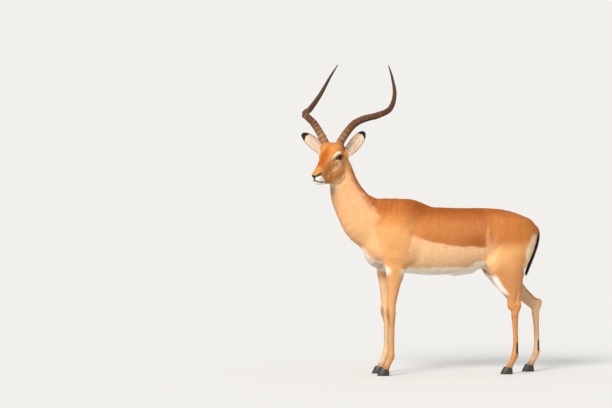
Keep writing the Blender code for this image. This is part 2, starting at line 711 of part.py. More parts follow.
def build_ear(name, coat, rows=13, columns=9):
    root, tip, across, facing = ear_frame(name)
    vertices = []
    for share in np.linspace(0.0, 1.0, rows):
        half_width, wrap, thickness = ear_section(share)
        middle = root + share * (tip - root)
        bend = half_width / math.sin(min(wrap, math.pi / 2))
        for is_inner, turns in ((False, np.linspace(-wrap, wrap, columns)),
                                (True, np.linspace(wrap, -wrap, columns))):
            for turn in turns:
                rim = max(0.3, 1.0 - (turn / wrap) ** 4)
                depth_radius = bend - is_inner * thickness * rim
                side_radius = bend - is_inner * min(thickness, 0.004) * rim
                vertices.append(middle + side_radius * math.sin(turn) * across
                                + (bend * EAR_SET - depth_radius * math.cos(turn)) * facing)
    columns_round = 2 * columns
    faces = grid_faces(rows, columns_round, closed=True)
    for row in (0, rows - 1):
        for column in range(columns - 1):
            start = row * columns_round
            mirror = start + columns_round - 1 - column
            faces.append((start + column, start + column + 1, mirror - 1, mirror))
    return mesh_object(f"ear_{name}", vertices, faces, coat)


def build_ear_seat(name, coat):
    """The round socket that clears an ear's root."""
    root, tip, across, facing = ear_frame(name)
    path = []
    radii = []
    for share in np.linspace(0.0, 0.5, 7):
        bend = ear_section(share)[0]
        path.append(root + share * (tip - root) + 0.5 * bend * facing)
        radii.append((bend + SEAT, bend + SEAT))
    return swept_object(f"ear_socket_{name}", path, radii, across, 24, coat, deeper=0.006)


# ---------------------------------------------------------------- tail
def tail_path():
    line = (  # backwards and up, down the cleft of the rump
        (0.415, 0.752),
        (0.447, 0.744),
        (0.4585, 0.715),
        (0.4560, 0.675),
        (0.4455, 0.635),
        (0.4290, 0.590),
        (0.4110, 0.545),
        (0.4000, 0.515),
    )
    return smooth_rows(np.array([(x, 0.0, z) for x, z in line]), 2)


def build_tail(coat, swell=0.0):
    path = tail_path()
    shares = (0.0, 0.25, 0.6, 0.9, 1.0)
    widths = np.interp(shares_along(path), shares, (0.014, 0.017, 0.019, 0.012, 0.004))
    depths = np.interp(shares_along(path), shares, (0.010, 0.010, 0.009, 0.007, 0.003))
    radii = [(width + swell, depth + swell) for width, depth in zip(widths, depths)]
    return swept_object("tail", path, radii, LEFT, 10, coat, deeper=swell)


# ---------------------------------------------------------------- hooves
CORONET_SLOPE = 0.25
CORONET_NORMAL = (CORONET_SLOPE, 0.0, 1.0)


def coronet_place(limb, side):
    """Middle of the coronet: the foot end of the leg's line."""
    leg = foreleg_forms(side)[-1] if limb == "foreleg" else hindleg_forms(side)[-1]
    return leg.rows[-1][0:3]


def build_claw(name, middle, outward, horn_black):
    """One half of a cloven hoof: a pointed wedge, flat on its sole and its inner wall."""
    points = 9
    vertices = []
    # height share, toe reach, heel reach, outer reach
    for share, toe, heel, outer in ((0.0, 0.042, 0.021, 0.0200), (0.30, 0.037, 0.0225, 0.0205),
                                    (0.70, 0.028, 0.0215, 0.0200), (1.0, 0.0215, 0.019, 0.0185)):
        outline = [(-toe, 0.0)]
        for step in range(1, points - 1):
            turn = math.pi * step / (points - 1)
            reach = toe if math.cos(turn) > 0 else heel
            bulge = math.sin(turn) ** (1.15 if math.cos(turn) > 0 else 0.7)
            outline.append((-reach * math.cos(turn), outer * bulge))
        outline.append((heel, 0.0))
        for along, out in outline:
            x = middle[0] + along - 0.004
            y = middle[1] + outward * (0.0012 + out)
            top = middle[2] - CORONET_SLOPE * (x - middle[0]) - SEAT
            vertices.append((x, y, share * top))
    faces = grid_faces(4, points, closed=True)
    faces.append(range(points))
    faces.append(range(3 * points, 4 * points))
    return mesh_object(name, vertices, faces, horn_black)


def build_hooves(horn_black):
    for limb in ("foreleg", "hindleg"):
        for name, side in SIDES.items():
            middle = coronet_place(limb, name)
            build_claw(f"{limb}_{name}_claw_outer", middle, side, horn_black)
            build_claw(f"{limb}_{name}_claw_inner", middle, -side, horn_black)


# ---------------------------------------------------------------- eyes and seats
def build_eye(name, hand, radius, gloss):
    shape = bmesh.new()
    bmesh.ops.create_icosphere(shape, subdivisions=2, radius=radius)
    mesh = bpy.data.meshes.new(name)
    shape.to_mesh(mesh)
    shape.free()
    result = bpy.data.objects.new(name, mesh)
    result.location = in_head(hand * EYE_PLACE[0], EYE_PLACE[1], EYE_PLACE[2])
    bpy.context.scene.collection.objects.link(result)
    mesh.materials.append(gloss)
    mesh.shade_smooth()
    return result


def seat(host, cutter):
    """Cuts a seat in the host with a slightly swollen copy of the piece that sits there."""
    cutter.name = f"seat_{cutter.name}"
    cutter.hide_render = True
    cutter.display_type = "WIRE"
    cut = host.modifiers.new(cutter.name, "BOOLEAN")
    cut.operation = "DIFFERENCE"
    cut.solver = "EXACT"
    cut.object = cutter


# ---------------------------------------------------------------- whole animal
def build():
    for leftover in list(bpy.data.objects):
        bpy.data.objects.remove(leftover)
    coat = material("coat", (0.62, 0.34, 0.16), 0.8)
    ear_hair = material("ear_hair", (0.75, 0.66, 0.56), 0.8)
    keratin = material("keratin", (0.16, 0.10, 0.06), 0.5)
    hoof_black = material("hoof_black", (0.02, 0.018, 0.016), 0.35)
    eye_gloss = material("eye_gloss", (0.012, 0.007, 0.004), 0.05)
    tail_hair = material("tail_hair", (0.10, 0.06, 0.04), 0.7)

    flesh = build_flesh(coat)
    for name, hand in (("left", 1.0), ("right", -1.0)):
        seat(flesh["head"], build_eye(f"eye_{name}_s", hand, EYE_RADIUS + SEAT, eye_gloss))
        build_eye(f"eye_{name}", hand, EYE_RADIUS, eye_gloss)
        seat(flesh["head"], build_horn(f"horn_{name}_s", hand, keratin, swell=SEAT))
        build_horn(f"horn_{name}", hand, keratin)
        seat(flesh["head"], build_ear_seat(name, ear_hair))
        build_ear(name, ear_hair)
    seat(flesh["trunk"], build_tail(tail_hair, swell=SEAT))
    build_tail(tail_hair)
    build_hooves(hoof_black)
    centre_over_floor()


def centre_over_floor():
    """Moves everything together so that the origin is under the middle of the model's box."""
    bpy.context.view_layer.update()
    solids = [item for item in bpy.data.objects if not item.hide_render]
    corners = np.array([item.matrix_world @ Vector(corner) for item in solids for corner in item.bound_box])
    middle = Vector((corners.min(axis=0) + corners.max(axis=0)) / 2)
    for item in bpy.data.objects:
        item.location -= Vector((middle.x, middle.y, 0.0))


build()
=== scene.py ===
import math

import bmesh
import bpy
import numpy as np
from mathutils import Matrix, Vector


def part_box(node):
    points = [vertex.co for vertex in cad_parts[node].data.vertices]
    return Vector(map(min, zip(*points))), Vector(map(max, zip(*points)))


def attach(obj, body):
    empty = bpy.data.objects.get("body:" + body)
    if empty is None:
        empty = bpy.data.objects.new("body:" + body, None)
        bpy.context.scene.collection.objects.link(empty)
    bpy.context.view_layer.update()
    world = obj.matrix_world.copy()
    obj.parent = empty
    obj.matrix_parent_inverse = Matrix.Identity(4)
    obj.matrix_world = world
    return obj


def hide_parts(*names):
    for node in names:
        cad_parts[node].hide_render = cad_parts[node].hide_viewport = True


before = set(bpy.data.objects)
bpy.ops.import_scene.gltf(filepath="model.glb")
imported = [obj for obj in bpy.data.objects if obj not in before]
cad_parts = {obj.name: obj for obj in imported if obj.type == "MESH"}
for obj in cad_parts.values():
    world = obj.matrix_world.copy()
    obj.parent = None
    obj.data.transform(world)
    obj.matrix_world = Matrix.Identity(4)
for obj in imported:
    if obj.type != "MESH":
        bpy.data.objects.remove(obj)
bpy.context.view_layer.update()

# The looks of a life-size adult male impala. One skin is grown from the same anatomy as the solids
# and covered with closed tufts of hair. Lengths are metres. The anatomy's own frame has the animal's
# left side towards -Y and its head towards -X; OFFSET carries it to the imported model's frame.

# ---- driving dimensions
FAR = 1.0  # field value where there is no flesh near
LEFT = np.array((0.0, -1.0, 0.0))
UP = np.array((0.0, 0.0, 1.0))
SIDES = {"left": -1.0, "right": 1.0}
HANDS = {"left": 1.0, "right": -1.0}

HEAD_TURN = math.radians(49.0)  # from straight ahead towards the left
HEAD_PITCH = math.radians(13.2)  # palate below level
EYE_MIDPOINT = np.array((-0.633, -0.055, 1.1145))
EYE_RADIUS = 0.0175
EYE_PLACE = (0.0485, -0.008, -0.005)  # left, forward and up from the midpoint between the eyes

BODY_STEP = 0.0052  # grid of the body's skin
HEAD_STEP = 0.002  # grid of the head's skin
SEED = 7


# ---- places in the head's frame
HEAD_AHEAD_LEVEL = np.array((-math.cos(HEAD_TURN), -math.sin(HEAD_TURN), 0.0))
HEAD_LEFT = np.array((math.sin(HEAD_TURN), -math.cos(HEAD_TURN), 0.0))
HEAD_AHEAD = HEAD_AHEAD_LEVEL * math.cos(HEAD_PITCH) - UP * math.sin(HEAD_PITCH)
HEAD_UP = HEAD_AHEAD_LEVEL * math.sin(HEAD_PITCH) + UP * math.cos(HEAD_PITCH)

# the plane where the head's fine skin meets the body's
HEAD_CUT_PLACE = (-0.5675, -0.0075, 1.0125)
HEAD_CUT_NORMAL = 0.68 * HEAD_AHEAD_LEVEL + 0.735 * UP

# furrows of the face in the head's frame: left, ahead and up
NOSTRIL = ((0.006, 0.171, -0.061), (0.0165, 0.1625, -0.056), (0.0262, 0.14, -0.05))
MOUTH = ((0.0, 0.1705, -0.0775), (0.01, 0.165, -0.0875), (0.019, 0.15, -0.0925), (0.024, 0.12, -0.1005),
         (0.0235, 0.095, -0.1075))


def in_head(left, ahead, up):
    """A point of the head, measured from between the eyes along the palate's frame."""
    return EYE_MIDPOINT + left * HEAD_LEFT + ahead * HEAD_AHEAD + up * HEAD_UP


def level_from_eyes(left, ahead, up):
    """A point measured from between the eyes along level axes that turn with the head."""
    return EYE_MIDPOINT + left * HEAD_LEFT + ahead * HEAD_AHEAD_LEVEL + up * UP


# ---- forms of the body field
class Tube:
    """A loft through stations: centre, half width, dorsal and ventral half depths, powers.

    Powers shape the dorsal and ventral halves of a section: 2 is an ellipse, less is a ridge.
    """

    def __init__(self, stations, blend, side=LEFT, samples=4):
        rows = [self.row(station, side) for station in stations]
        self.rows = smooth_rows(np.array(rows), samples)
        self.blend = blend
        reach = self.rows[:, 6:9].max() + blend
        self.low = self.rows[:, 0:3].min(axis=0) - reach
        self.high = self.rows[:, 0:3].max(axis=0) + reach

    @staticmethod
    def row(station, side):
        centre, width, dorsal, ventral = station[:4]
        powers = station[4] if len(station) > 4 else (2.0, 2.0)
        own_side = station[5] if len(station) > 5 else side
        return [*centre, *own_side, width, dorsal, ventral, *powers]

    def distance(self, points):
        nearest = np.full(len(points), FAR)
        for start, end in zip(self.rows[:-1], self.rows[1:]):
            reach = max(start[6:9].max(), end[6:9].max()) + self.blend
            low = np.minimum(start[0:3], end[0:3]) - reach
            high = np.maximum(start[0:3], end[0:3]) + reach
            near = np.all((points > low) & (points < high), axis=1)
            if near.any():
                found = self.segment_distance(points[near], start, end)
                nearest[near] = np.minimum(nearest[near], found)
        return nearest

    @staticmethod
    def segment_distance(points, start, end):
        axis = end[0:3] - start[0:3]
        length = np.linalg.norm(axis)
        along = np.clip((points - start[0:3]) @ axis / length**2, 0.0, 1.0)[:, None]
        row = start + along * (end - start)
        offset = points - row[:, 0:3]
        tangent = axis / length
        side = row[:, 3:6] - (row[:, 3:6] @ tangent)[:, None] * tangent
        side /= np.linalg.norm(side, axis=1)[:, None]
        dorsal_way = np.cross(tangent, side)
        across = np.abs(np.einsum("ij,ij->i", offset, side))
        height = np.einsum("ij,ij->i", offset, dorsal_way)
        past_end = np.abs(offset @ tangent)
        is_dorsal = height > 0
        depth = np.where(is_dorsal, row[:, 7], row[:, 8])
        power = np.where(is_dorsal, row[:, 9], row[:, 10])
        cap = np.minimum(row[:, 6], depth)
        ratio = ((across / row[:, 6]) ** power + (np.abs(height) / depth) ** power) ** (1.0 / power)
        ratio = np.sqrt(ratio**2 + (past_end / cap) ** 2) + 1e-6
        radius = np.linalg.norm(offset, axis=1) + 1e-6 * cap
        return radius - radius / ratio


class Mass:
    """An ellipsoid: a muscle, a joint or a cheek. Its first axis points along `way`."""

    def __init__(self, centre, radii, blend, way=(1.0, 0.0, 0.0), side=LEFT):
        self.centre = np.array(centre)
        self.radii = np.array(radii)
        self.blend = blend
        first = np.array(way) / np.linalg.norm(way)
        second = side - (side @ first) * first
        second /= np.linalg.norm(second)
        self.frame = np.array((first, second, np.cross(first, second)))
        reach = self.radii.max() + blend
        self.low = self.centre - reach
        self.high = self.centre + reach

    def distance(self, points):
        local = (points - self.centre) @ self.frame.T
        ratio = np.linalg.norm(local / self.radii, axis=1) + 1e-6
        radius = np.linalg.norm(local, axis=1) + 1e-7
        return radius - radius / ratio


class Stroke:
    """A soft ridge (positive height) or furrow (negative) laid along a line of points."""

    def __init__(self, points, height, radius):
        self.points = np.array(points)
        self.height = height
        self.radius = radius
        self.low = self.points.min(axis=0) - 2.5 * radius
        self.high = self.points.max(axis=0) + 2.5 * radius

    def lift(self, points):
        return self.height * np.exp(-((line_gap(points, self.points) / self.radius) ** 2))


def smooth_rows(rows, samples):
    """Catmull-Rom curve through rows of numbers, with samples steps between neighbours."""
    padded = np.vstack((2 * rows[0] - rows[1], rows, 2 * rows[-1] - rows[-2]))
    result = []
    for index in range(len(rows) - 1):
        before, start, end, after = padded[index:index + 4]
        for step in range(samples):
            t = step / samples
            result.append(0.5 * (2 * start + (end - before) * t
                                 + (2 * before - 5 * start + 4 * end - after) * t**2
                                 + (3 * start - 3 * end + after - before) * t**3))
    result.append(rows[-1])
    return np.array(result)


def apply_form(form, values, points):
    """The field's values at the points once the form is added."""
    if isinstance(form, Stroke):
        return values - form.lift(points)
    other = form.distance(points)
    overlap = np.maximum(form.blend - np.abs(values - other), 0.0) / form.blend
    return np.minimum(values, other) - 0.25 * form.blend * overlap**2


# ---- anatomy
def trunk_forms():
    # along the back from rump to breast: x, top, bottom, half width, widest level, powers
    profile = (
        (0.408, 0.772, 0.66, 0.05, 0.715, (2.0, 2.0)),
        (0.375, 0.797, 0.63, 0.08, 0.715, (1.9, 2.0)),
        (0.325, 0.82, 0.605, 0.1, 0.715, (1.8, 2.0)),
        (0.262, 0.841, 0.58, 0.11, 0.71, (1.8, 2.0)),
        (0.199, 0.848, 0.552, 0.116, 0.695, (1.9, 2.0)),
        (0.13, 0.848, 0.53, 0.124, 0.68, (2.0, 2.1)),
        (0.04, 0.848, 0.513, 0.131, 0.67, (2.0, 2.2)),
        (-0.06, 0.852, 0.503, 0.132, 0.67, (2.0, 2.1)),
        (-0.119, 0.857, 0.505, 0.128, 0.675, (1.9, 2.0)),
        (-0.182, 0.879, 0.511, 0.119, 0.68, (1.7, 1.9)),
        (-0.245, 0.899, 0.517, 0.108, 0.69, (1.6, 1.8)),
        (-0.3, 0.892, 0.52, 0.098, 0.7, (1.6, 1.8)),
        (-0.355, 0.862, 0.535, 0.085, 0.7, (1.8, 1.9)),
    )
    stations = [((x, 0.0, level), width, top - level, level - bottom, powers)
                for x, top, bottom, width, level, powers in profile]
    forms = [Tube(stations, 0.03, samples=3)]
    forms.append(Mass((-0.366, 0.0, 0.652), (0.098, 0.082, 0.075), 0.04, way=(0.45, 0.0, 1.0)))
    forms.append(Mass((-0.305, 0.0, 0.851), (0.085, 0.026, 0.04), 0.03))
    forms.append(Mass((0.215, 0.0, 0.545), (0.03, 0.026, 0.04), 0.025))
    sheath = [((0.105, 0.0, 0.53), 0.017, 0.02, 0.02), ((0.02, 0.0, 0.515), 0.013, 0.02, 0.014)]
    forms.append(Tube(sheath, 0.03))
    return forms


def cleft_forms():
    """The furrow between the buttocks, where the tail lies."""
    return [
        Stroke([(0.45, 0.0, 0.7), (0.425, 0.0, 0.61), (0.395, 0.0, 0.52)], -0.016, 0.02),
    ]


def neck_forms():
    turned = 0.55 * HEAD_LEFT + 0.45 * LEFT
    stations = [
        ((-0.255, 0.0, 0.7), 0.085, 0.17, 0.1),
        ((-0.337, 0.0, 0.724), 0.089, 0.164, 0.118),
        ((-0.435, 0.0, 0.775), 0.083, 0.134, 0.118, (1.8, 2.0)),
        ((-0.507, 0.0, 0.872), 0.071, 0.098, 0.098, (1.9, 2.0)),
        ((-0.539, 0.003, 0.95), 0.064, 0.075, 0.089, (2.0, 1.9), 0.3 * HEAD_LEFT + 0.7 * LEFT),
        ((-0.556, 0.014, 1.035), 0.057, 0.055, 0.072, (2.0, 1.9), turned),
        ((-0.58, 0.01, 1.095), 0.05, 0.046, 0.052, (2.0, 2.0), HEAD_LEFT),
    ]
    return [Tube(stations, 0.035)]


def head_forms():
    # along the skull from nape to nose: ahead, top, bottom, half width, widest level, powers
    profile = (
        (-0.104, 0.028, -0.06, 0.036, -0.01, (2.0, 2.0)),
        (-0.08, 0.05, -0.088, 0.045, -0.012, (2.0, 2.0)),
        (-0.05, 0.061, -0.106, 0.05, -0.014, (2.0, 1.9)),
        (-0.02, 0.06, -0.112, 0.052, -0.014, (2.1, 1.8)),
        (0.012, 0.04, -0.112, 0.049, -0.018, (2.2, 1.8)),
        (0.042, 0.017, -0.112, 0.0375, -0.03, (2.3, 1.8)),
        (0.074, 0.0, -0.107, 0.0305, -0.045, (2.3, 2.0)),
        (0.106, -0.018, -0.103, 0.029, -0.055, (2.3, 2.1)),
        (0.134, -0.033, -0.101, 0.0275, -0.062, (2.3, 2.2)),
        (0.148, -0.041, -0.099, 0.025, -0.066, (2.3, 2.2)),
    )
    stations = [(in_head(0.0, ahead, level), width, top - level, level - bottom, powers)
                for ahead, top, bottom, width, level, powers in profile]
    forms = [Tube(stations, 0.02, side=HEAD_LEFT)]
    throat = [(in_head(0.0, -0.075, -0.075), 0.045, 0.03, 0.052),
              (in_head(0.0, -0.02, -0.098), 0.036, 0.03, 0.044),
              (in_head(0.0, 0.06, -0.103), 0.024, 0.02, 0.024),
              (in_head(0.0, 0.125, -0.097), 0.018, 0.02, 0.015)]
    forms.append(Tube(throat, 0.03, side=HEAD_LEFT))
    forms.append(head_mass((0.0, 0.14, -0.093), (0.024, 0.0175, 0.012), 0.012))
    for hand in (1.0, -1.0):
        forms += [
            head_mass((0.033 * hand, -0.006, 0.004), (0.034, 0.0185, 0.026), 0.018),
            head_mass((0.031 * hand, -0.018, -0.07), (0.05, 0.02, 0.044), 0.018),
            head_mass((0.037 * hand, -0.034, 0.041), (0.038, 0.026, 0.027), 0.02),
            head_mass((0.047 * hand, -0.072, 0.0), (0.026, 0.022, 0.03), 0.02),
            head_mass((0.013 * hand, 0.146, -0.07), (0.022, 0.0155, 0.018), 0.012),
        ]
    return forms


def head_mass(place, radii, blend):
    """An ellipsoid of the head: half lengths ahead, sideways and up."""
    ahead, sideways, up = radii
    return Mass(in_head(*place), (ahead, sideways, up), blend, way=HEAD_AHEAD, side=HEAD_LEFT)


def head_strokes(lines):
    """Strokes on both sides of the head, from rows of height, radius and places in its frame."""
    return [Stroke([in_head(hand * left, ahead, up) for left, ahead, up in places], height, radius)
            for height, radius, places in lines for hand in HANDS.values()]


def face_forms():
    """Brow, cheek line, jaw edge, nostrils and mouth as soft ridges and furrows."""
    return head_strokes((
        (0.004, 0.008, ((0.045, 0.03, 0.012), (0.056, 0.008, 0.02), (0.056, -0.02, 0.016))),
        (0.003, 0.008, ((0.044, 0.024, -0.022), (0.054, 0.0, -0.024), (0.056, -0.024, -0.016))),
        (-0.005, 0.012, ((0.052, -0.062, -0.03), (0.046, -0.072, -0.078), (0.03, -0.062, -0.118))),
        (-0.003, 0.01, ((0.04, 0.026, -0.04), (0.034, 0.056, -0.052), (0.03, 0.086, -0.06))),
        (-0.005, 0.0045, NOSTRIL),
        (-0.003, 0.0035, MOUTH),
    ))


def leg_stations(x, side, rows):
    """Stations down a leg, from rows of x beyond the given one, half y, height and half sizes."""
    return [((x + beyond, side * y, z), *sizes) for beyond, y, z, *sizes in rows]


ELBOW_X = {"left": -0.304, "right": -0.318}
KNEE_X = {"left": -0.322, "right": -0.318}


def foreleg_forms(name):
    side = SIDES[name]
    top_x = ELBOW_X[name]
    down = KNEE_X[name] - top_x
    blade = leg_stations(0.0, side, (
        (-0.205, 0.052, 0.835, 0.024, 0.055, 0.045),
        (-0.255, 0.072, 0.765, 0.03, 0.062, 0.05),
        (-0.315, 0.082, 0.69, 0.034, 0.06, 0.05),
        (-0.362, 0.08, 0.625, 0.034, 0.048, 0.045),
    ))
    upper = leg_stations(top_x, side, (
        (0.004, 0.088, 0.6, 0.038, 0.06, 0.058),
        (0.0, 0.088, 0.525, 0.033, 0.048, 0.052),
        (down * 0.3, 0.088, 0.465, 0.0275, 0.036, 0.037),
        (down * 0.65, 0.088, 0.4, 0.0225, 0.026, 0.027),
    ))
    lower = leg_stations(KNEE_X[name], side, (
        (0.0, 0.087, 0.355, 0.0215, 0.0235, 0.0245),
        (0.0, 0.086, 0.318, 0.0235, 0.0255, 0.0235),
        (0.001, 0.086, 0.288, 0.019, 0.019, 0.0215),
        (0.003, 0.085, 0.255, 0.014, 0.014, 0.0175),
        (0.003, 0.084, 0.18, 0.0125, 0.013, 0.016),
        (0.001, 0.083, 0.128, 0.014, 0.014, 0.0175),
        (-0.002, 0.083, 0.1, 0.0185, 0.0165, 0.0225),
        (-0.01, 0.083, 0.075, 0.0165, 0.015, 0.0185),
        (-0.019, 0.083, 0.054, 0.017, 0.016, 0.018),
        (-0.027, 0.083, 0.034, 0.0205, 0.02, 0.02),
    ))
    elbow = Mass((top_x + 0.03, side * 0.088, 0.64), (0.095, 0.036, 0.074), 0.045, way=(0.4, 0.0, 1.0))
    return [Tube(blade, 0.05), elbow, Tube(upper + lower, 0.025)]


# how the hind legs stand: the left forward of the right
HOCK_X = {"left": 0.312, "right": 0.459}
GASKINS = {  # down each leg from the stifle: x, height, half width, half depths before and behind
    "left": ((0.285, 0.56, 0.043, 0.102, 0.088), (0.287, 0.512, 0.038, 0.094, 0.084),
             (0.297, 0.455, 0.031, 0.07, 0.063), (0.311, 0.4, 0.0235, 0.04, 0.036)),
    "right": ((0.262, 0.56, 0.043, 0.078, 0.09), (0.277, 0.515, 0.037, 0.07, 0.069),
              (0.322, 0.455, 0.03, 0.056, 0.045), (0.391, 0.4, 0.0225, 0.034, 0.03)),
}
TENDON_X = {  # places of the tendon above the hock, from HOCK_X
    "left": (0.031, 0.031, 0.029, 0.025, 0.02),
    "right": (-0.084, -0.055, -0.026, 0.0, 0.02),
}


def hindleg_forms(name):
    side = SIDES[name]
    hock_x = HOCK_X[name]
    y = side * 0.088
    thigh = leg_stations(0.0, side, (
        (0.335, 0.06, 0.76, 0.05, 0.12, 0.08),
        (0.322, 0.07, 0.69, 0.054, 0.13, 0.104),
        (0.308, 0.078, 0.62, 0.05, 0.112, 0.1),
    ))
    thigh += [((x, y, z), *sizes) for x, z, *sizes in GASKINS[name]]
    thigh += leg_stations(hock_x, side, ((-0.009, 0.088, 0.346, 0.0195, 0.0235, 0.028),))
    tendon_sizes = (  # height, half width, half depths before and behind
        (0.475, 0.016, 0.02, 0.012),
        (0.43, 0.012, 0.017, 0.011),
        (0.4, 0.01, 0.015, 0.01),
        (0.375, 0.01, 0.015, 0.0095),
        (0.357, 0.011, 0.014, 0.011),
    )
    tendon = [((hock_x + x, y, z), *sizes) for x, (z, *sizes) in zip(TENDON_X[name], tendon_sizes)]
    shank = leg_stations(hock_x, side, (
        (0.03, 0.088, 0.361, 0.0115, 0.015, 0.01),
        (0.028, 0.088, 0.343, 0.0165, 0.03, 0.012),
        (0.011, 0.088, 0.31, 0.0188, 0.024, 0.018),
        (0.009, 0.086, 0.276, 0.016, 0.0185, 0.018),
        (0.01, 0.085, 0.23, 0.0135, 0.0142, 0.0165),
        (0.012, 0.083, 0.165, 0.0128, 0.0135, 0.0165),
        (0.01, 0.08, 0.125, 0.0145, 0.0145, 0.0185),
        (0.007, 0.08, 0.098, 0.019, 0.017, 0.023),
        (-0.002, 0.08, 0.073, 0.0168, 0.0155, 0.0185),
        (-0.012, 0.08, 0.053, 0.017, 0.016, 0.018),
        (-0.02, 0.08, 0.034, 0.0205, 0.02, 0.02),
    ))
    return [
        Tube(thigh, 0.035),
        Tube(tendon, 0.018),
        Mass((0.372, side * 0.05, 0.68), (0.105, 0.05, 0.056), 0.03, way=(0.22, 0.0, 1.0)),
        Mass((0.228, y, 0.56), (0.05, 0.034, 0.04), 0.03, way=(0.4, 0.0, 1.0)),
        Tube(shank, 0.018),
    ]


def body_forms():
    forms = trunk_forms() + neck_forms() + head_forms()
    for name in SIDES:
        forms += foreleg_forms(name) + hindleg_forms(name)
    return forms + cleft_forms() + face_forms()


# ---- field to mesh
def field_at(forms, points):
    """The whole body field at loose points."""
    values = np.full(len(points), FAR)
    for form in forms:
        near = np.all((points > form.low) & (points < form.high), axis=1)
        if near.any():
            values[near] = apply_form(form, values[near], points[near])
    return values


def sampled_field(forms, step, low, high, size=5):
    """The field on a grid, worked out only in the blocks of size points a side that the surface may cross."""
    block_shape = np.ceil((np.array(high) - low) / (step * size)).astype(int)
    blocks = np.argwhere(np.ones(block_shape, dtype=bool))
    rough = field_at(forms, low + step * (blocks * size + (size - 1) / 2))
    near = np.abs(rough) < 2.2 * step * size
    values = np.where(rough.reshape(block_shape) < 0, -FAR, FAR)
    for axis in range(3):
        values = np.repeat(values, size, axis=axis)
    inner = np.argwhere(np.ones((size,) * 3, dtype=bool))
    index = (blocks[near][:, None, :] * size + inner).reshape(-1, 3)
    values[tuple(index.T)] = field_at(forms, low + step * index)
    values[[0, -1]] = FAR
    values[:, [0, -1]] = FAR
    values[:, :, [0, -1]] = FAR
    return values


def surface_net(values, low, step):
    """Vertices and quads of the surface where the field is zero, faces outwards."""
    inside = values < 0
    size = np.array(values.shape) - 1
    cells = np.zeros(size, dtype=bool)
    for corner in np.ndindex(2, 2, 2):
        part = tuple(slice(start, start + length) for start, length in zip(corner, size))
        cells |= inside[part] != inside[:-1, :-1, :-1]
    number = np.full(cells.shape, -1)
    number[cells] = np.arange(cells.sum())
    total = np.zeros((cells.sum(), 3))
    count = np.zeros(cells.sum())
    quads = []
    for axis in range(3):
        near = [slice(None)] * 3
        beyond = [slice(None)] * 3
        near[axis] = slice(0, -1)
        beyond[axis] = slice(1, None)
        start, end = values[tuple(near)], values[tuple(beyond)]
        edges = np.argwhere((start < 0) != (end < 0))
        index = tuple(edges.T)
        places = edges.astype(float)
        places[:, axis] += start[index] / (start[index] - end[index])
        ring = []
        second, third = (axis + 1) % 3, (axis + 2) % 3
        for a, b in ((1, 1), (0, 1), (0, 0), (1, 0)):
            cell = edges.copy()
            cell[:, second] -= a
            cell[:, third] -= b
            ids = number[tuple(cell.T)]
            ring.append(ids)
            count += np.bincount(ids, minlength=len(count))
            for i in range(3):
                total[:, i] += np.bincount(ids, weights=places[:, i], minlength=len(count))
        ring = np.array(ring).T
        outward = start[index] < 0
        quads.append(np.where(outward[:, None], ring, ring[:, ::-1]))
    return low + step * total / count[:, None], np.vstack(quads)


def grid_faces(rows, columns, closed):
    """Quads of a grid of points, row by row; closed joins the last column to the first."""
    faces = []
    for row in range(rows - 1):
        for column in range(columns if closed else columns - 1):
            following = (column + 1) % columns
            faces.append((row * columns + column, row * columns + following,
                          (row + 1) * columns + following, (row + 1) * columns + column))
    return faces


# ---- horns, ears, tail and hooves as in the solids
CORONET_SLOPE = 0.25
EAR_ROOTS = {"left": (0.05, -0.074, 0.002), "right": (-0.05, -0.072, 0.01)}
EAR_TIPS = {"left": (0.165, -0.06, 0.124), "right": (-0.177, -0.02, 0.111)}
EAR_SET = 0.55  # how far the cup's rim stands in front of its axis, in cup radii
EAR_FACING = {"left": (0.35, 0.92, 0.0), "right": (0.1, 0.99, 0.0)}


def horn_path(hand, samples=4):
    """The lyre-shaped line of a horn's centre: out, back, then up and in to the tip."""
    turns = (  # left of the middle, ahead of and above the eyes, level
        (0.036, -0.03, 0.052),
        (0.058, -0.028, 0.092),
        (0.1125, -0.039, 0.16),
        (0.162, -0.062, 0.191),
        (0.213, -0.112, 0.209),
        (0.233, -0.205, 0.24),
        (0.218, -0.278, 0.312),
        (0.184, -0.312, 0.396),
        (0.15, -0.333, 0.459),
    )
    points = np.array([level_from_eyes(hand * left, ahead, up) for left, ahead, up in turns])
    return smooth_rows(points, samples)


def horn_radius(share):
    """Half the horn's thickness at a share of its length."""
    shares = (0.0, 0.08, 0.3, 0.55, 0.75, 0.92, 1.0)
    radii = (0.0212, 0.0204, 0.0178, 0.0146, 0.0106, 0.0056, 0.0022)
    return float(np.interp(share, shares, radii))


def shares_along(path):
    steps = np.linalg.norm(np.diff(path, axis=0), axis=1)
    run = np.concatenate(([0.0], np.cumsum(steps)))
    return run / run[-1]


def ear_section(share):
    """Half width, wrap angle and thickness of the ear at a share of its length.

    The root is a solid plug, thicker than it is wide; above it the ear opens into a thin cup.
    """
    shares = (0.0, 0.08, 0.2, 0.35, 0.55, 0.75, 0.9, 1.0)
    half_width = np.interp(share, shares, (0.014, 0.018, 0.025, 0.03, 0.032, 0.028, 0.02, 0.007))
    wrap = np.interp(share, shares, (1.57, 1.57, 1.6, 1.25, 1.0, 0.85, 0.75, 0.7))
    thickness = np.interp(share, shares, (0.026, 0.033, 0.006, 0.004, 0.0036, 0.0032, 0.003, 0.0026))
    return half_width, wrap, thickness


def ear_frame(name):
    """Root and tip of an ear, the way across it, and the way its cup faces."""
    root = level_from_eyes(*EAR_ROOTS[name])
    tip = level_from_eyes(*EAR_TIPS[name])
    axis = (tip - root) / np.linalg.norm(tip - root)
    left, ahead, up = EAR_FACING[name]
    facing = left * HEAD_LEFT + ahead * HEAD_AHEAD_LEVEL + up * UP
    facing -= (facing @ axis) * axis
    facing /= np.linalg.norm(facing)
    return root, tip, np.cross(axis, facing), facing


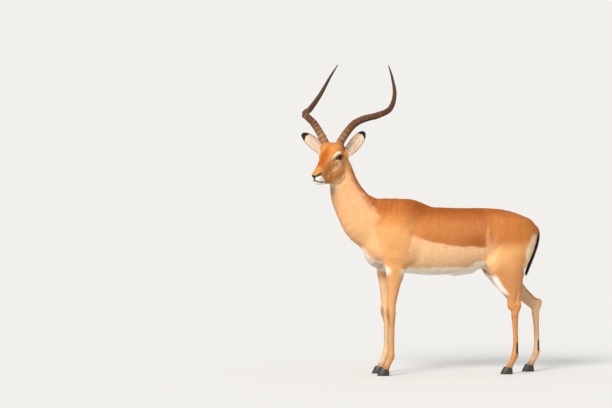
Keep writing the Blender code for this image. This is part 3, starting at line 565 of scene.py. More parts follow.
def tail_path():
    line = (  # backwards and up, down the cleft of the rump
        (0.415, 0.752),
        (0.447, 0.744),
        (0.4585, 0.715),
        (0.456, 0.675),
        (0.4455, 0.635),
        (0.429, 0.59),
        (0.411, 0.545),
        (0.4, 0.515),
    )
    return smooth_rows(np.array([(x, 0.0, z) for x, z in line]), 2)


def coronet_place(limb, side):
    """Middle of the coronet: the foot end of the leg's line."""
    leg = foreleg_forms(side)[-1] if limb == "foreleg" else hindleg_forms(side)[-1]
    return leg.rows[-1][0:3]


# ---- small tools
def normalised(vectors):
    return vectors / np.linalg.norm(vectors, axis=-1, keepdims=True)


def ramp(values, low, high):
    """0 below low, 1 above high, smooth between; low may be the larger of the two."""
    share = np.clip((np.asarray(values) - low) / (high - low), 0.0, 1.0)
    return share * share * (3.0 - 2.0 * share)


def tone(code):
    """A colour written as six hexadecimal digits, in linear light."""
    parts = np.array([int(code[i:i + 2], 16) for i in (0, 2, 4)]) / 255.0
    return np.where(parts <= 0.04045, parts / 12.92, ((parts + 0.055) / 1.055) ** 2.4)


def lay(values, value, share):
    """Lays a value, or a colour by its code, over an array of them by a share at each point."""
    value = tone(value) if isinstance(value, str) else np.asarray(value)
    share = np.clip(share, 0.0, 1.0)[:, None]
    return values * (1.0 - share) + value * share


def painted(colours, *layers):
    """The colours, or one colour for all, under layers of colour and share."""
    if isinstance(colours, str):
        colours = np.tile(tone(colours), (len(layers[0][1]), 1))
    for colour, share in layers:
        colours = lay(colours, colour, share)
    return colours


def line_gap(points, line):
    """Distance from each point to a line of points."""
    nearest = np.full(len(points), FAR)
    line = np.array(line)
    for start, end in zip(line[:-1], line[1:]):
        axis = end - start
        share = np.clip((points - start) @ axis / (axis @ axis), 0.0, 1.0)[:, None]
        nearest = np.minimum(nearest, np.linalg.norm(points - start - share * axis, axis=1))
    return nearest


def blob(points, centre, radii):
    """A soft spot: 1 at its centre, half at about 0.8 of its radii."""
    return np.exp(-np.sum(((points - centre) / radii) ** 2, axis=1))


def wave(points, size, seed):
    """Smooth seeded variation over space, about -1 to 1, with features of that size."""
    random = np.random.default_rng(seed)
    total = np.zeros(len(points))
    for _ in range(6):
        way = normalised(random.normal(size=3)) * 2.0 * math.pi / (size * random.uniform(0.7, 1.5))
        total += np.sin(points @ way + random.uniform(0.0, 2.0 * math.pi))
    return total / 3.5


def raw_mesh(name, vertices, triangles, colours=None, patches=None, ways=None):
    """An object from arrays in the anatomy's frame: colour, bake place and shading way at each vertex."""
    mesh = bpy.data.meshes.new(name)
    mesh.vertices.add(len(vertices))
    mesh.vertices.foreach_set("co", np.asarray(vertices + OFFSET, np.float32).ravel())
    mesh.loops.add(len(triangles) * 3)
    mesh.loops.foreach_set("vertex_index", np.asarray(triangles, np.int32).ravel())
    mesh.polygons.add(len(triangles))
    mesh.polygons.foreach_set("loop_start", np.arange(0, 3 * len(triangles), 3, dtype=np.int32))
    mesh.update(calc_edges=True)
    if colours is not None:
        paint(mesh, colours)
    if patches is not None:
        layer = mesh.uv_layers.new(name="OFBake")
        layer.data.foreach_set("uv", np.asarray(patches[np.ravel(triangles)], np.float32).ravel())
    if ways is not None:
        mesh.shade_smooth()
        mesh.normals_split_custom_set_from_vertices(normalised(ways).tolist())
    result = bpy.data.objects.new(name, mesh)
    bpy.context.scene.collection.objects.link(result)
    return result


def paint(mesh, colours):
    """Stores a colour for each vertex in the attribute that the materials read."""
    alpha = np.ones((len(colours), 1))
    layer = mesh.color_attributes.new("coat", "FLOAT_COLOR", "POINT")
    layer.data.foreach_set("color", np.hstack((np.clip(colours, 0.0, 1.0), alpha)).astype(np.float32).ravel())


def fetched(items, name, width=3, kind=np.float32):
    """What foreach_get reads, in rows."""
    values = np.empty(len(items) * width, kind)
    items.foreach_get(name, values)
    return values.reshape(-1, width)


def coordinates(mesh):
    return fetched(mesh.vertices, "co").astype(float)


def move_to(mesh, places):
    mesh.vertices.foreach_set("co", places.astype(np.float32).ravel())
    mesh.update()


def vertex_normals(mesh):
    return fetched(mesh.vertices, "normal").astype(float)


def split_quads(quads):
    quads = np.asarray(quads)
    return np.vstack((quads[:, [0, 1, 2]], quads[:, [0, 2, 3]]))


def outward(vertices, triangles):
    """Turns a closed piece's triangles outwards if they face inwards."""
    a, b, c = (vertices[triangles[:, i]] for i in range(3))
    volume = np.einsum("ij,ij->", a, np.cross(b, c))
    return triangles if volume > 0 else triangles[:, ::-1]


def capped(vertices, triangles, sides, foot, crown):
    """Closes a grid of rings with a fan to a point at each end."""
    around = np.arange(sides)
    following = (around + 1) % sides
    count = len(vertices)
    first = np.column_stack((np.full(sides, count), following, around))
    last = np.column_stack((np.full(sides, count + 1), count - sides + around, count - sides + following))
    vertices = np.vstack((vertices, foot, crown))
    return vertices, outward(vertices - 0.5 * (foot + crown), np.vstack((triangles, first, last)))


def swept(path, across, radii, sides, shape=None):
    """Points and triangles of a closed tube. shape(turns, ring) gives a factor for each radius."""
    path = np.asarray(path)
    tangents = normalised(np.gradient(path, axis=0))
    first = normalised(across - (tangents @ across)[:, None] * tangents)
    second = np.cross(tangents, first)
    turns = np.linspace(0.0, 2.0 * math.pi, sides, endpoint=False)
    radii = np.asarray(radii).reshape(len(path), -1)
    wide, deep = radii[:, [0]], radii[:, [-1]]
    factor = np.ones((len(path), sides)) if shape is None else shape(turns, np.arange(len(path))[:, None])
    vertices = (path[:, None] + (wide * factor * np.cos(turns))[..., None] * first[:, None]
                + (deep * factor * np.sin(turns))[..., None] * second[:, None]).reshape(-1, 3)
    triangles = split_quads(grid_faces(len(path), sides, closed=True))
    return capped(vertices, triangles, sides, path[0], path[-1])


def finished(piece, material, slot, *nodes, smooth=True):
    """Gives a piece its material and its place in the frame."""
    piece.data.materials.append(material)
    if smooth:
        piece.data.shade_smooth()
    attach(piece, "root")
    if nodes:
        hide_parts(*nodes)
    return piece


# ---- materials
def painted_material(name, roughness, bump_size, bump_depth, variation, shine=0.25):
    """A finish whose colour is the painted one, broken up by noise, with a fine relief."""
    result = bpy.data.materials.new(name)
    result.use_nodes = True
    tree = result.node_tree
    shader = tree.nodes["Principled BSDF"]
    shader.inputs["Roughness"].default_value = roughness
    shader.inputs["Specular IOR Level"].default_value = shine

    def node(kind, **values):
        added = tree.nodes.new("ShaderNode" + kind)
        for label, value in values.items():
            added.inputs[label.replace("_", " ")].default_value = value
        return added

    colour = node("VertexColor")
    colour.layer_name = "coat"
    place = node("TexCoord")
    noise = node("TexNoise", Scale=1.0 / bump_size, Detail=4.0)
    shade = node("MapRange", From_Min=0.3, From_Max=0.7, To_Min=1.0 - variation, To_Max=1.0 + variation)
    scaled = node("VectorMath")
    scaled.operation = "SCALE"
    relief = node("Bump", Strength=1.0, Distance=bump_depth)
    for output, socket in (
        (place.outputs["Object"], noise.inputs["Vector"]),
        (noise.outputs["Fac"], shade.inputs["Value"]),
        (colour.outputs["Color"], scaled.inputs[0]),
        (shade.outputs["Result"], scaled.inputs["Scale"]),
        (scaled.outputs["Vector"], shader.inputs["Base Color"]),
        (noise.outputs["Fac"], relief.inputs["Height"]),
        (relief.outputs["Normal"], shader.inputs["Normal"]),
    ):
        tree.links.new(output, socket)
    return result


# ---- eyes' places
def eye_centre(name):
    left, ahead, up = EYE_PLACE
    return in_head(HANDS[name] * left, ahead, up)


def eye_axes(name):
    """The way an eye looks, and its rearward and upward ways; the lids open along the rearward one."""
    look = normalised(0.75 * HANDS[name] * HEAD_LEFT + 0.58 * HEAD_AHEAD + 0.22 * HEAD_UP)
    rear = -HEAD_AHEAD + 0.2 * HEAD_UP
    rear = normalised(rear - (rear @ look) * look)
    up = np.cross(look, rear)
    return look, rear, up if up @ HEAD_UP > 0 else -up


def lid_opening(turn):
    """Half angle of the almond between the lids, at a turn from the rear corner over the top."""
    along, height = np.cos(turn), np.sin(turn)
    long_half = np.where(along < 0, 1.16, 1.12)
    high_half = np.where(height > 0, 0.45, 0.4)
    power = 1.5
    ratio = (np.abs(along) / long_half) ** power + (np.abs(height) / high_half) ** power
    return ratio ** (-1.0 / power)


def eye_ways(name, lean, turn):
    """Ways out of an eye's centre, leaning from its gaze at turns from its rear corner over the top."""
    look, rear, up = eye_axes(name)
    return (np.cos(lean)[:, None] * look
            + np.sin(lean)[:, None] * (np.cos(turn)[:, None] * rear + np.sin(turn)[:, None] * up))


def eye_reach(name, points):
    """How far points are from an eye's centre, and how far they lean past the opening of its lids."""
    look, rear, up = eye_axes(name)
    offset = points - eye_centre(name)
    radius = np.linalg.norm(offset, axis=1)
    lean = np.arccos(np.clip(offset @ look / np.maximum(radius, 1e-6), -1.0, 1.0))
    return radius, lean - lid_opening(np.arctan2(offset @ up, offset @ rear))


class EyeSocket:
    """Takes the eyeball and the opening between the lids out of the head's field."""

    def __init__(self, name):
        self.name = name
        self.low = eye_centre(name) - 0.05
        self.high = eye_centre(name) + 0.05

    def carve(self, values, points):
        radius, past = eye_reach(self.name, points)
        ball = EYE_RADIUS + 0.0006 - radius
        window = np.minimum((0.16 - past) * EYE_RADIUS, 0.045 - radius)
        return np.maximum(values, np.maximum(ball, window))


def lid_mass(name):
    """The swelling of the lids round the eyeball."""
    return Mass(eye_centre(name), (EYE_RADIUS + 0.0016,) * 3, 0.008)


# ---- muscles, tendons and folds of the skin
def detail_forms():
    forms = []
    sides = (  # height, radius, points to the left of the middle: x, half y, z
        (-0.003, 0.012, ((-0.225, 0.12, 0.56), (-0.24, 0.12, 0.64), (-0.215, 0.125, 0.72))),
        (-0.003, 0.014, ((-0.255, 0.125, 0.6), (-0.33, 0.105, 0.66), (-0.365, 0.09, 0.73))),
        (0.0025, 0.016, ((-0.215, 0.075, 0.845), (-0.29, 0.11, 0.74), (-0.34, 0.115, 0.68))),
        (-0.0025, 0.012, ((-0.365, 0.09, 0.62), (-0.34, 0.11, 0.58), (-0.3, 0.125, 0.56))),
        (-0.0035, 0.014, ((0.165, 0.115, 0.56), (0.2, 0.115, 0.6), (0.235, 0.118, 0.66))),
        (0.004, 0.014, ((0.13, 0.11, 0.54), (0.18, 0.115, 0.56), (0.23, 0.11, 0.59))),
        (-0.0022, 0.014, ((0.345, 0.12, 0.74), (0.365, 0.122, 0.66), (0.372, 0.118, 0.58))),
        (0.0025, 0.014, ((0.245, 0.09, 0.83), (0.255, 0.105, 0.8), (0.262, 0.112, 0.775))),
        (-0.003, 0.018, ((0.16, 0.118, 0.76), (0.205, 0.112, 0.72), (0.215, 0.11, 0.64))),
        (-0.0035, 0.012, ((-0.48, 0.075, 0.8), (-0.53, 0.06, 0.9), (-0.56, 0.05, 0.99))),
        (0.005, 0.03, ((-0.395, 0.0, 0.875), (-0.36, 0.0, 0.875))),
        (-0.004, 0.03, ((-0.44, 0.0, 0.9), (-0.445, 0.0, 0.905))),
    )
    for height, radius, line in sides:
        for side in SIDES.values():
            forms.append(Stroke([(x, side * y, z) for x, y, z in line], height, radius))
    return forms + leg_details()


def leg_details():
    """Hollow before the hock's tendon, grooves beside the canes, bumps of knee and fetlock."""
    forms = []
    for name, side in SIDES.items():
        for rows in (foreleg_forms(name)[-1].rows, hindleg_forms(name)[-1].rows):
            shank = rows[(rows[:, 2] < 0.27) & (rows[:, 2] > 0.12)]
            for hand in (1.0, -1.0):
                groove = shank[:, 0:3] + np.array((0.007, hand * 0.015, 0.0))
                forms.append(Stroke(groove[::2], -0.0022, 0.0045))
            fetlock = rows[np.argmin(np.abs(rows[:, 2] - 0.098)), 0:3]
            for hand in (1.0, -1.0):
                bump = fetlock + np.array((-0.002, hand * 0.015, 0.004))
                forms.append(Stroke([bump, bump + (0.001, 0.0, -0.008)], 0.0018, 0.007))
            foot = rows[-1, 0:3]
            for above, below in (((-0.017, 0.0, 0.012), (-0.022, 0.0, -0.012)),
                                 ((0.021, 0.0, 0.016), (0.022, 0.0, -0.012))):
                forms.append(Stroke([foot + above, foot + below], -0.004, 0.0045))
    for name, side in SIDES.items():
        knee = foreleg_forms(name)[-1].rows
        knee = knee[np.argmin(np.abs(knee[:, 2] - 0.318)), 0:3]
        for hand in (1.0, -1.0):
            forms.append(Stroke([knee + (-0.016, hand * 0.012, 0.016), knee + (-0.017, hand * 0.012, -0.01)],
                                0.002, 0.0085))
        forms.append(Stroke([knee + (0.02, 0.0, 0.004), knee + (0.022, 0.0, 0.0)], 0.003, 0.008))
        hock_x = HOCK_X[name]
        hollow_x = hock_x + TENDON_X[name][2] - 0.01
        for hand in (1.0, -1.0):
            tendon = [(hollow_x, side * 0.088 + hand * 0.017, 0.418),
                      (hock_x + 0.008, side * 0.088 + hand * 0.014, 0.368)]
            forms.append(Stroke(tendon, -0.005, 0.009))
            forms.append(Stroke([(hock_x + 0.002, side * 0.087 + hand * 0.017, 0.322),
                                 (hock_x + 0.004, side * 0.087 + hand * 0.017, 0.302)], 0.002, 0.01))
    return forms


def head_details():
    """Cheekbone, tear groove, nose, lips and chin, finer than in the solids."""
    middle = [in_head(0.0, 0.171, -0.06), in_head(0.0, 0.172, -0.068), in_head(0.0, 0.1705, -0.078)]
    return head_strokes((
        (0.002, 0.006, ((0.052, -0.008, -0.044), (0.046, 0.012, -0.055), (0.036, 0.045, -0.066),
                          (0.027, 0.086, -0.082))),
        (-0.0022, 0.006, ((0.043, 0.03, -0.006), (0.038, 0.048, -0.016), (0.034, 0.066, -0.028))),
        (0.0016, 0.005, ((0.008, 0.168, -0.052), (0.016, 0.158, -0.047), (0.024, 0.137, -0.041))),
        (-0.0022, 0.003, NOSTRIL),
        (0.0016, 0.005, ((0.018, 0.163, -0.067), (0.025, 0.148, -0.062), (0.027, 0.128, -0.062))),
        (0.0018, 0.0055, ((0.005, 0.17, -0.07), (0.018, 0.158, -0.08), (0.026, 0.13, -0.091))),
        (-0.0016, 0.0022, MOUTH),
        (0.0014, 0.0045, ((0.004, 0.165, -0.093), (0.014, 0.155, -0.097), (0.021, 0.125, -0.106))),
        (-0.0016, 0.008, ((0.044, -0.006, -0.07), (0.036, 0.03, -0.082), (0.03, 0.06, -0.09))),
        (-0.004, 0.006, ((0.012, 0.066, -0.13), (0.018, 0.02, -0.148), (0.036, 0.0, -0.15),
                           (0.05, -0.022, -0.134))),
        (0.003, 0.008, ((0.03, -0.075, 0.048), (0.034, -0.06, 0.052), (0.03, -0.03, 0.052))),
    )) + [Stroke(middle, -0.0022, 0.0028)]


# ---- the skin
def head_low_high():
    reach = np.array((0.215, 0.215, 0.135))
    low, high = EYE_MIDPOINT - reach, EYE_MIDPOINT + reach
    low[2] = 0.93
    return low, high


def open_net(forms, step, low, high, sockets=()):
    values = sampled_field(forms, step, low, high)
    if sockets:
        for socket in sockets:
            first = np.maximum(((socket.low - low) / step).astype(int), 0)
            last = ((socket.high - low) / step).astype(int) + 1
            part = tuple(slice(a, b) for a, b in zip(first, last))
            shape = values[part].shape
            index = np.stack(np.meshgrid(*[np.arange(n) for n in shape], indexing="ij"), axis=-1) + first
            points = low + step * index.reshape(-1, 3)
            values[part] = socket.carve(values[part].ravel(), points).reshape(shape)
    return surface_net(values, low, step)


def cut_shape(vertices, quads, way, gap):
    """One side of a net, cut open beside the plane where head and body meet."""
    mesh = bpy.data.meshes.new("net")
    mesh.from_pydata(vertices.tolist(), [], quads.tolist())
    shape = bmesh.new()
    shape.from_mesh(mesh)
    bpy.data.meshes.remove(mesh)
    normal = Vector(HEAD_CUT_NORMAL).normalized() * way
    bmesh.ops.bisect_plane(shape, geom=[*shape.verts, *shape.edges, *shape.faces], dist=1e-6,
                           plane_co=Vector(HEAD_CUT_PLACE) + normal * gap, plane_no=normal, clear_inner=True)
    return shape


def keep_largest(shape):
    """Drops loose scraps: everything that isn't joined to the largest piece."""
    waiting = set(shape.verts)
    largest = set()
    while waiting:
        seed = waiting.pop()
        found, front = {seed}, [seed]
        while front:
            for edge in front.pop().link_edges:
                for vertex in edge.verts:
                    if vertex not in found:
                        found.add(vertex)
                        front.append(vertex)
        waiting -= found
        largest = found if len(found) > len(largest) else largest
    bmesh.ops.delete(shape, geom=[vertex for vertex in shape.verts if vertex not in largest], context="VERTS")


def relaxed(mesh, rounds):
    """Smooths a mesh's points towards their neighbours."""
    places = coordinates(mesh)
    edges = fetched(mesh.edges, "vertices", 2, np.int32)
    first, second = edges.T
    count = np.bincount(edges.ravel(), minlength=len(places))[:, None]
    for _ in range(rounds):
        total = np.column_stack([np.bincount(first, places[second, i], len(places))
                                 + np.bincount(second, places[first, i], len(places)) for i in range(3)])
        places = 0.5 * places + 0.5 * total / count
    move_to(mesh, places)
    return places


def coat_depth(points):
    """How far the hair stands over the skin."""
    head = past_cut(points, -0.03, 0.05)
    depth = 0.0018 + 0.001 * ramp(points[:, 2], 0.3, 0.55)
    depth = depth * (1.0 - head) + 0.0011 * head
    muzzle = ramp((points - EYE_MIDPOINT) @ HEAD_AHEAD, 0.05, 0.13) * head
    return depth * (1.0 - 0.5 * muzzle)


def build_skin_mesh():
    """One mesh for head, neck, trunk and legs, lying under the coat."""
    coarse = 1.0
    body = body_forms() + detail_forms()
    low = np.min([form.low for form in body], axis=0)
    high = np.max([form.high for form in body], axis=0)
    high[2] = 1.12
    sockets = [EyeSocket(name) for name in SIDES]
    head_low, head_high = head_low_high()
    whole = [form for form in body if np.all(form.high > head_low) and np.all(form.low < head_high)]
    whole += head_details() + [lid_mass(name) for name in SIDES]
    trunk = cut_shape(*open_net(body, BODY_STEP * coarse, low, high), -1.0, 0.003)
    head = cut_shape(*open_net(whole, HEAD_STEP * coarse, head_low, head_high, sockets), 1.0, 0.001)
    keep_largest(trunk)
    keep_largest(head)
    joined = bpy.data.meshes.new("skin")
    part = bpy.data.meshes.new("part")
    head.to_mesh(part)
    trunk.from_mesh(part)
    rims = [edge for edge in trunk.edges if edge.is_boundary]
    bmesh.ops.bridge_loops(trunk, edges=rims)
    bmesh.ops.triangulate(trunk, faces=trunk.faces)
    bmesh.ops.recalc_face_normals(trunk, faces=trunk.faces)
    trunk.to_mesh(joined)
    trunk.free()
    head.free()
    bpy.data.meshes.remove(part)
    places = relaxed(joined, 2)
    places -= vertex_normals(joined) * coat_depth(places)[:, None]
    move_to(joined, places)
    return joined


# ---- markings of the coat
RUFOUS = "bd733a"
BACK = "a5561a"
SHOULDER_ORANGE = "cc8340"
PEACH = "dda267"
NECK_PEACH = "e9b07c"
FLANK = "e8b98a"
LEG_PEACH = "dba06a"
WHITE = "faf2e6"
CREAM = "f0d5b2"
BLACK = "1d1613"


JAW = ((0.056, -0.03, -0.114), (0.0465, -0.01, -0.139), (0.029, 0.006, -0.1445), (0.012, 0.03, -0.138),
       (0.012, 0.07, -0.1245), (0.018, 0.105, -0.116))  # the jaw's lower edge in the head's frame


def past_cut(points, low, high):
    """From 0 behind the plane between body and head to 1 in front of it."""
    return ramp((points - np.array(HEAD_CUT_PLACE)) @ HEAD_CUT_NORMAL, low, high)


def head_place(points):
    """Places in the head's frame, the right side's as on the left: left, ahead and up."""
    left, ahead, up = ((points - EYE_MIDPOINT) @ way for way in (HEAD_LEFT, HEAD_AHEAD, HEAD_UP))
    return np.column_stack((np.abs(left), ahead, up))


def coat_colour(points):
    """The coat's colour at any point of the animal, in linear light."""
    colours = body_colour(points)
    place = head_place(points)
    ahead, up = place.T[1:]
    jaw_line = np.interp(ahead, [spot[1] for spot in JAW], [spot[2] for spot in JAW])
    jaw = ramp(up, jaw_line - 0.002, jaw_line + 0.005) * ramp(ahead, JAW[0][1], JAW[0][1] + 0.012)
    head = np.maximum(past_cut(points, -0.005, 0.045), jaw)
    is_head = head > 0
    colours[is_head] = (colours[is_head] * (1.0 - head[is_head, None])
                        + head_colour(points[is_head]) * head[is_head, None])

    # painted shade: the throat greyed where the jaw's shadow falls, browner lower down, and a painted shadow
    # in a dark strip along the jaw's lower edge
    upper = line_gap(place, ((0.0, 0.04, -0.14), (0.0, 0.012, -0.152), (0.0, 0.002, -0.166)))
    lower = line_gap(place, ((0.0, 0.002, -0.172), (0.0, -0.006, -0.192)))
    jaw_shadow = line_gap(place, JAW) + 0.001 * wave(points, 0.012, 7)
    return painted(
        colours,
        ("c6b6a2", 0.9 * ramp(upper, 0.036, 0.014) * ramp(up, jaw_line + 0.002, jaw_line - 0.003)),
        ("a07c5c", 0.6 * ramp(lower, 0.024, 0.008)),
        ("6b4a33", 0.65 * ramp(jaw_shadow, 0.006, 0.0015)),
    )


def body_colour(points):
    x, y, z = points.T
    ragged = wave(points, 0.035, 3)
    fine = wave(points, 0.012, 4)
    z_edge = z + 0.004 * ragged + 0.0015 * fine
    x_edge = x + 0.006 * ragged + 0.002 * fine
    side = np.abs(y)
    flat = points * (1, 0, 1)

    def spot(x, z, long, high):
        return blob(flat, (x, 0.0, z), (long, 1.0, high))

    def gap(*line):
        return line_gap(flat, [(x, 0.0, z) for x, z in line])

    # fawn flank, rufous saddle above it with a soft edge, richer along the spine
    edge = np.interp(x, (-0.3, -0.227, -0.174, -0.122, -0.069, -0.016, 0.037, 0.16, 0.3),
                     (0.74, 0.716, 0.696, 0.683, 0.671, 0.662, 0.655, 0.651, 0.65))
    blur = 0.008 + 0.012 * ramp(x, -0.12, -0.24)
    saddle = ramp(z_edge, edge - blur, edge + blur)
    colours = painted(
        FLANK, (RUFOUS, saddle),
        (BACK, ramp(z, 0.76, 0.84) * saddle),
        # painted highlight: the middle of the saddle lighter where the sun's sheen falls
        (SHOULDER_ORANGE, 0.45 * spot(-0.06, 0.745, 0.13, 0.05) * saddle),
        ("9a4f20", 0.62 * spot(0.12, 0.68, 0.075, 0.035) * saddle),
    )

    # hind quarters: orange above, paler below the line of the flank
    haunch = (ramp(x_edge, 0.16, 0.176) * (1.0 - 0.6 * ramp(z, 0.775, 0.825)))[:, None]
    thigh = painted(
        "bf7436", (PEACH, ramp(z_edge, 0.7, 0.625)),
        (RUFOUS, ramp(z, 0.74, 0.8) * 0.8),
        (SHOULDER_ORANGE, 0.5 * ramp(x, 0.26, 0.36) * ramp(z, 0.66, 0.58)),
        ("d69459", 0.9 * ramp(z, 0.58, 0.5)),
        ("ecb984", 0.9 * spot(0.185, 0.6, 0.035, 0.075)),
    )
    colours = colours * (1.0 - haunch) + thigh * haunch
    fold = gap((0.174, 0.765), (0.167, 0.66)) + 0.002 * ragged
    colours = lay(colours, "e9aa70", 0.6 * ramp(fold, 0.013, 0.002) * ramp(z, 0.772, 0.725))

    # withers, shoulder and the pale neck with its orange nape
    front = ramp(x_edge, -0.15, -0.29)[:, None]
    shoulder = painted(
        "dd9d5f", (SHOULDER_ORANGE, ramp(z, 0.74, 0.8)),
        ("b3652a", ramp(z, 0.79, 0.86)),
        ("e0a66e", 0.75 * spot(-0.245, 0.625, 0.06, 0.06)),
    )
    nape_line = np.interp(z, (0.56, 0.643, 0.745, 0.816, 0.887, 0.96, 1.035),
                          (-0.35, -0.372, -0.41, -0.395, -0.44, -0.488, -0.527))
    neck = ramp(x + 0.01 * ragged, nape_line + 0.03, nape_line - 0.022) * ramp(z, 0.555, 0.6)
    nape = ramp(x - nape_line, -0.02, 0.035) * ramp(z, 0.9, 0.96) * (1.0 - 0.35 * ramp(z, 0.98, 1.06))

    # underside: white belly, brisket and inner thighs
    belly_edge = np.interp(x, (-0.4, -0.33, -0.26, -0.2, 0.08, 0.115, 0.15, 0.175, 0.26),
                           (0.545, 0.552, 0.545, 0.549, 0.55, 0.578, 0.585, 0.575, 0.56))
    belly = ramp(z_edge, belly_edge + 0.004, belly_edge - 0.008) * ramp(x, -0.3, -0.25) * ramp(z, 0.4, 0.47)
    brisket = gap((-0.465, 0.63), (-0.442, 0.592), (-0.405, 0.56), (-0.35, 0.535))
    chest = ramp(brisket + 0.002 * ragged, 0.03, 0.016)
    chest = np.maximum(chest, ramp(side, 0.062, 0.042) * ramp(z, 0.6, 0.57) * ramp(x, -0.3, -0.36))
    chest = np.maximum(chest, ramp(spot(-0.386, 0.574, 0.026, 0.02), 0.45, 0.7))
    # two folds of the brisket, painted grey as shade
    folds = [gap((-0.408, z), (-0.388, z - 0.006), (-0.366, z - 0.016)) for z in (0.562, 0.575)]
    inner = ramp(side, 0.056, 0.034) * ramp(z, 0.64, 0.6) * ramp(x, -0.36, -0.3) * ramp(z, 0.26, 0.4)

    # rump: white round the tail, framed by a black stripe down each buttock
    behind = ramp(x + 0.45 * (z - 0.7) * (z < 0.7), 0.395, 0.415) * ramp(z, 0.5, 0.54) * ramp(z, 0.735, 0.705)
    band = np.interp(z, (0.5, 0.57, 0.668, 0.715), (0.372, 0.366, 0.386, 0.418))
    cream = ramp(x_edge, band - 0.01, band + 0.008) * ramp(z, 0.51, 0.55) * ramp(z, 0.728, 0.7)
    stripe = ramp(z, 0.53, 0.56) * ramp(z, 0.72, 0.7) * ramp(x, 0.33, 0.37)
    colours = painted(
        colours * (1.0 - front) + shoulder * front,
        (NECK_PEACH, neck),
        ("e6b27c", 0.6 * neck * spot(-0.47, 0.72, 0.08, 0.09)),
        ("b96e36", nape * ramp(x, -0.46, -0.49)),
        ("fff0d6", belly * ramp(x, 0.18, 0.158)),
        ("f3dfc9", chest),
        # painted shade in the brisket's folds
        *(("9c8676", 0.6 * ramp(fold, 0.0045, 0.0015)) for fold in folds),
        (WHITE, inner * (1.0 - 0.3 * ramp(x, -0.2, -0.28))),
        # painted shade on the underside of the scrotum
        ("b7a28e", 0.7 * blob(points, (0.215, 0.0, 0.52), (0.05, 0.05, 0.045))),
        (WHITE, behind * ramp(side, 0.056, 0.048)),
        (CREAM, 0.9 * cream),
        (BLACK, stripe * ramp(np.abs(side - 0.056 - 0.002 * ragged), 0.0085, 0.0055)),
    )
    return leg_colour(points, colours, ragged)


def leg_colour(points, colours, ragged):
    """Fawn legs, whiter inside, with dark marks before the knee and black glands over the hind fetlocks."""
    x, y, z = points.T
    is_hind = x > 0.0
    outside = ramp(z + 0.004 * ragged, 0.545, 0.49) * ramp(np.abs(y), 0.04, 0.07)
    inside = ramp(np.abs(y), 0.084, 0.074) * ramp(z, 0.52, 0.47)
    colours = painted(
        colours, (LEG_PEACH, 0.85 * outside * (1.0 - is_hind)),
        ("cc8c54", 0.8 * outside * is_hind),
        (CREAM, 0.45 * inside),
        ("c98f58", 0.55 * ramp(z, 0.3, 0.25) * (1.0 - inside)),
    )
    for name, side in SIDES.items():
        mine = y * side > 0.02
        fore, hind = (np.interp(z, rows[::-1, 2], rows[::-1, 0])
                      for rows in (foreleg_forms(name)[-1].rows, hindleg_forms(name)[-1].rows))
        gaskin = np.array(GASKINS[name][::-1])
        before = np.interp(z, gaskin[:, 1], gaskin[:, 0] - gaskin[:, 3])
        front_face = ramp(fore - x, 0.008, 0.016) * (~is_hind & mine & (z < 0.45))
        white_edge = ramp(x - before, 0.032, 0.016) * ramp(z, 0.52, 0.49) * ramp(z, 0.395, 0.425)
        gland = is_hind * mine * ramp(x - hind, 0.0, 0.008) * ramp(np.abs(z - 0.135), 0.036, 0.022)
        colours = painted(
            colours, ("8d5a35", 0.55 * front_face * ramp(np.abs(z - 0.3), 0.06, 0.03)),
            (WHITE, 0.9 * white_edge * (x > 0.1) * mine),
            (BLACK, 0.95 * gland),
        )
    return lay(colours, "8d6a4c", 0.5 * ramp(z, 0.062, 0.046))


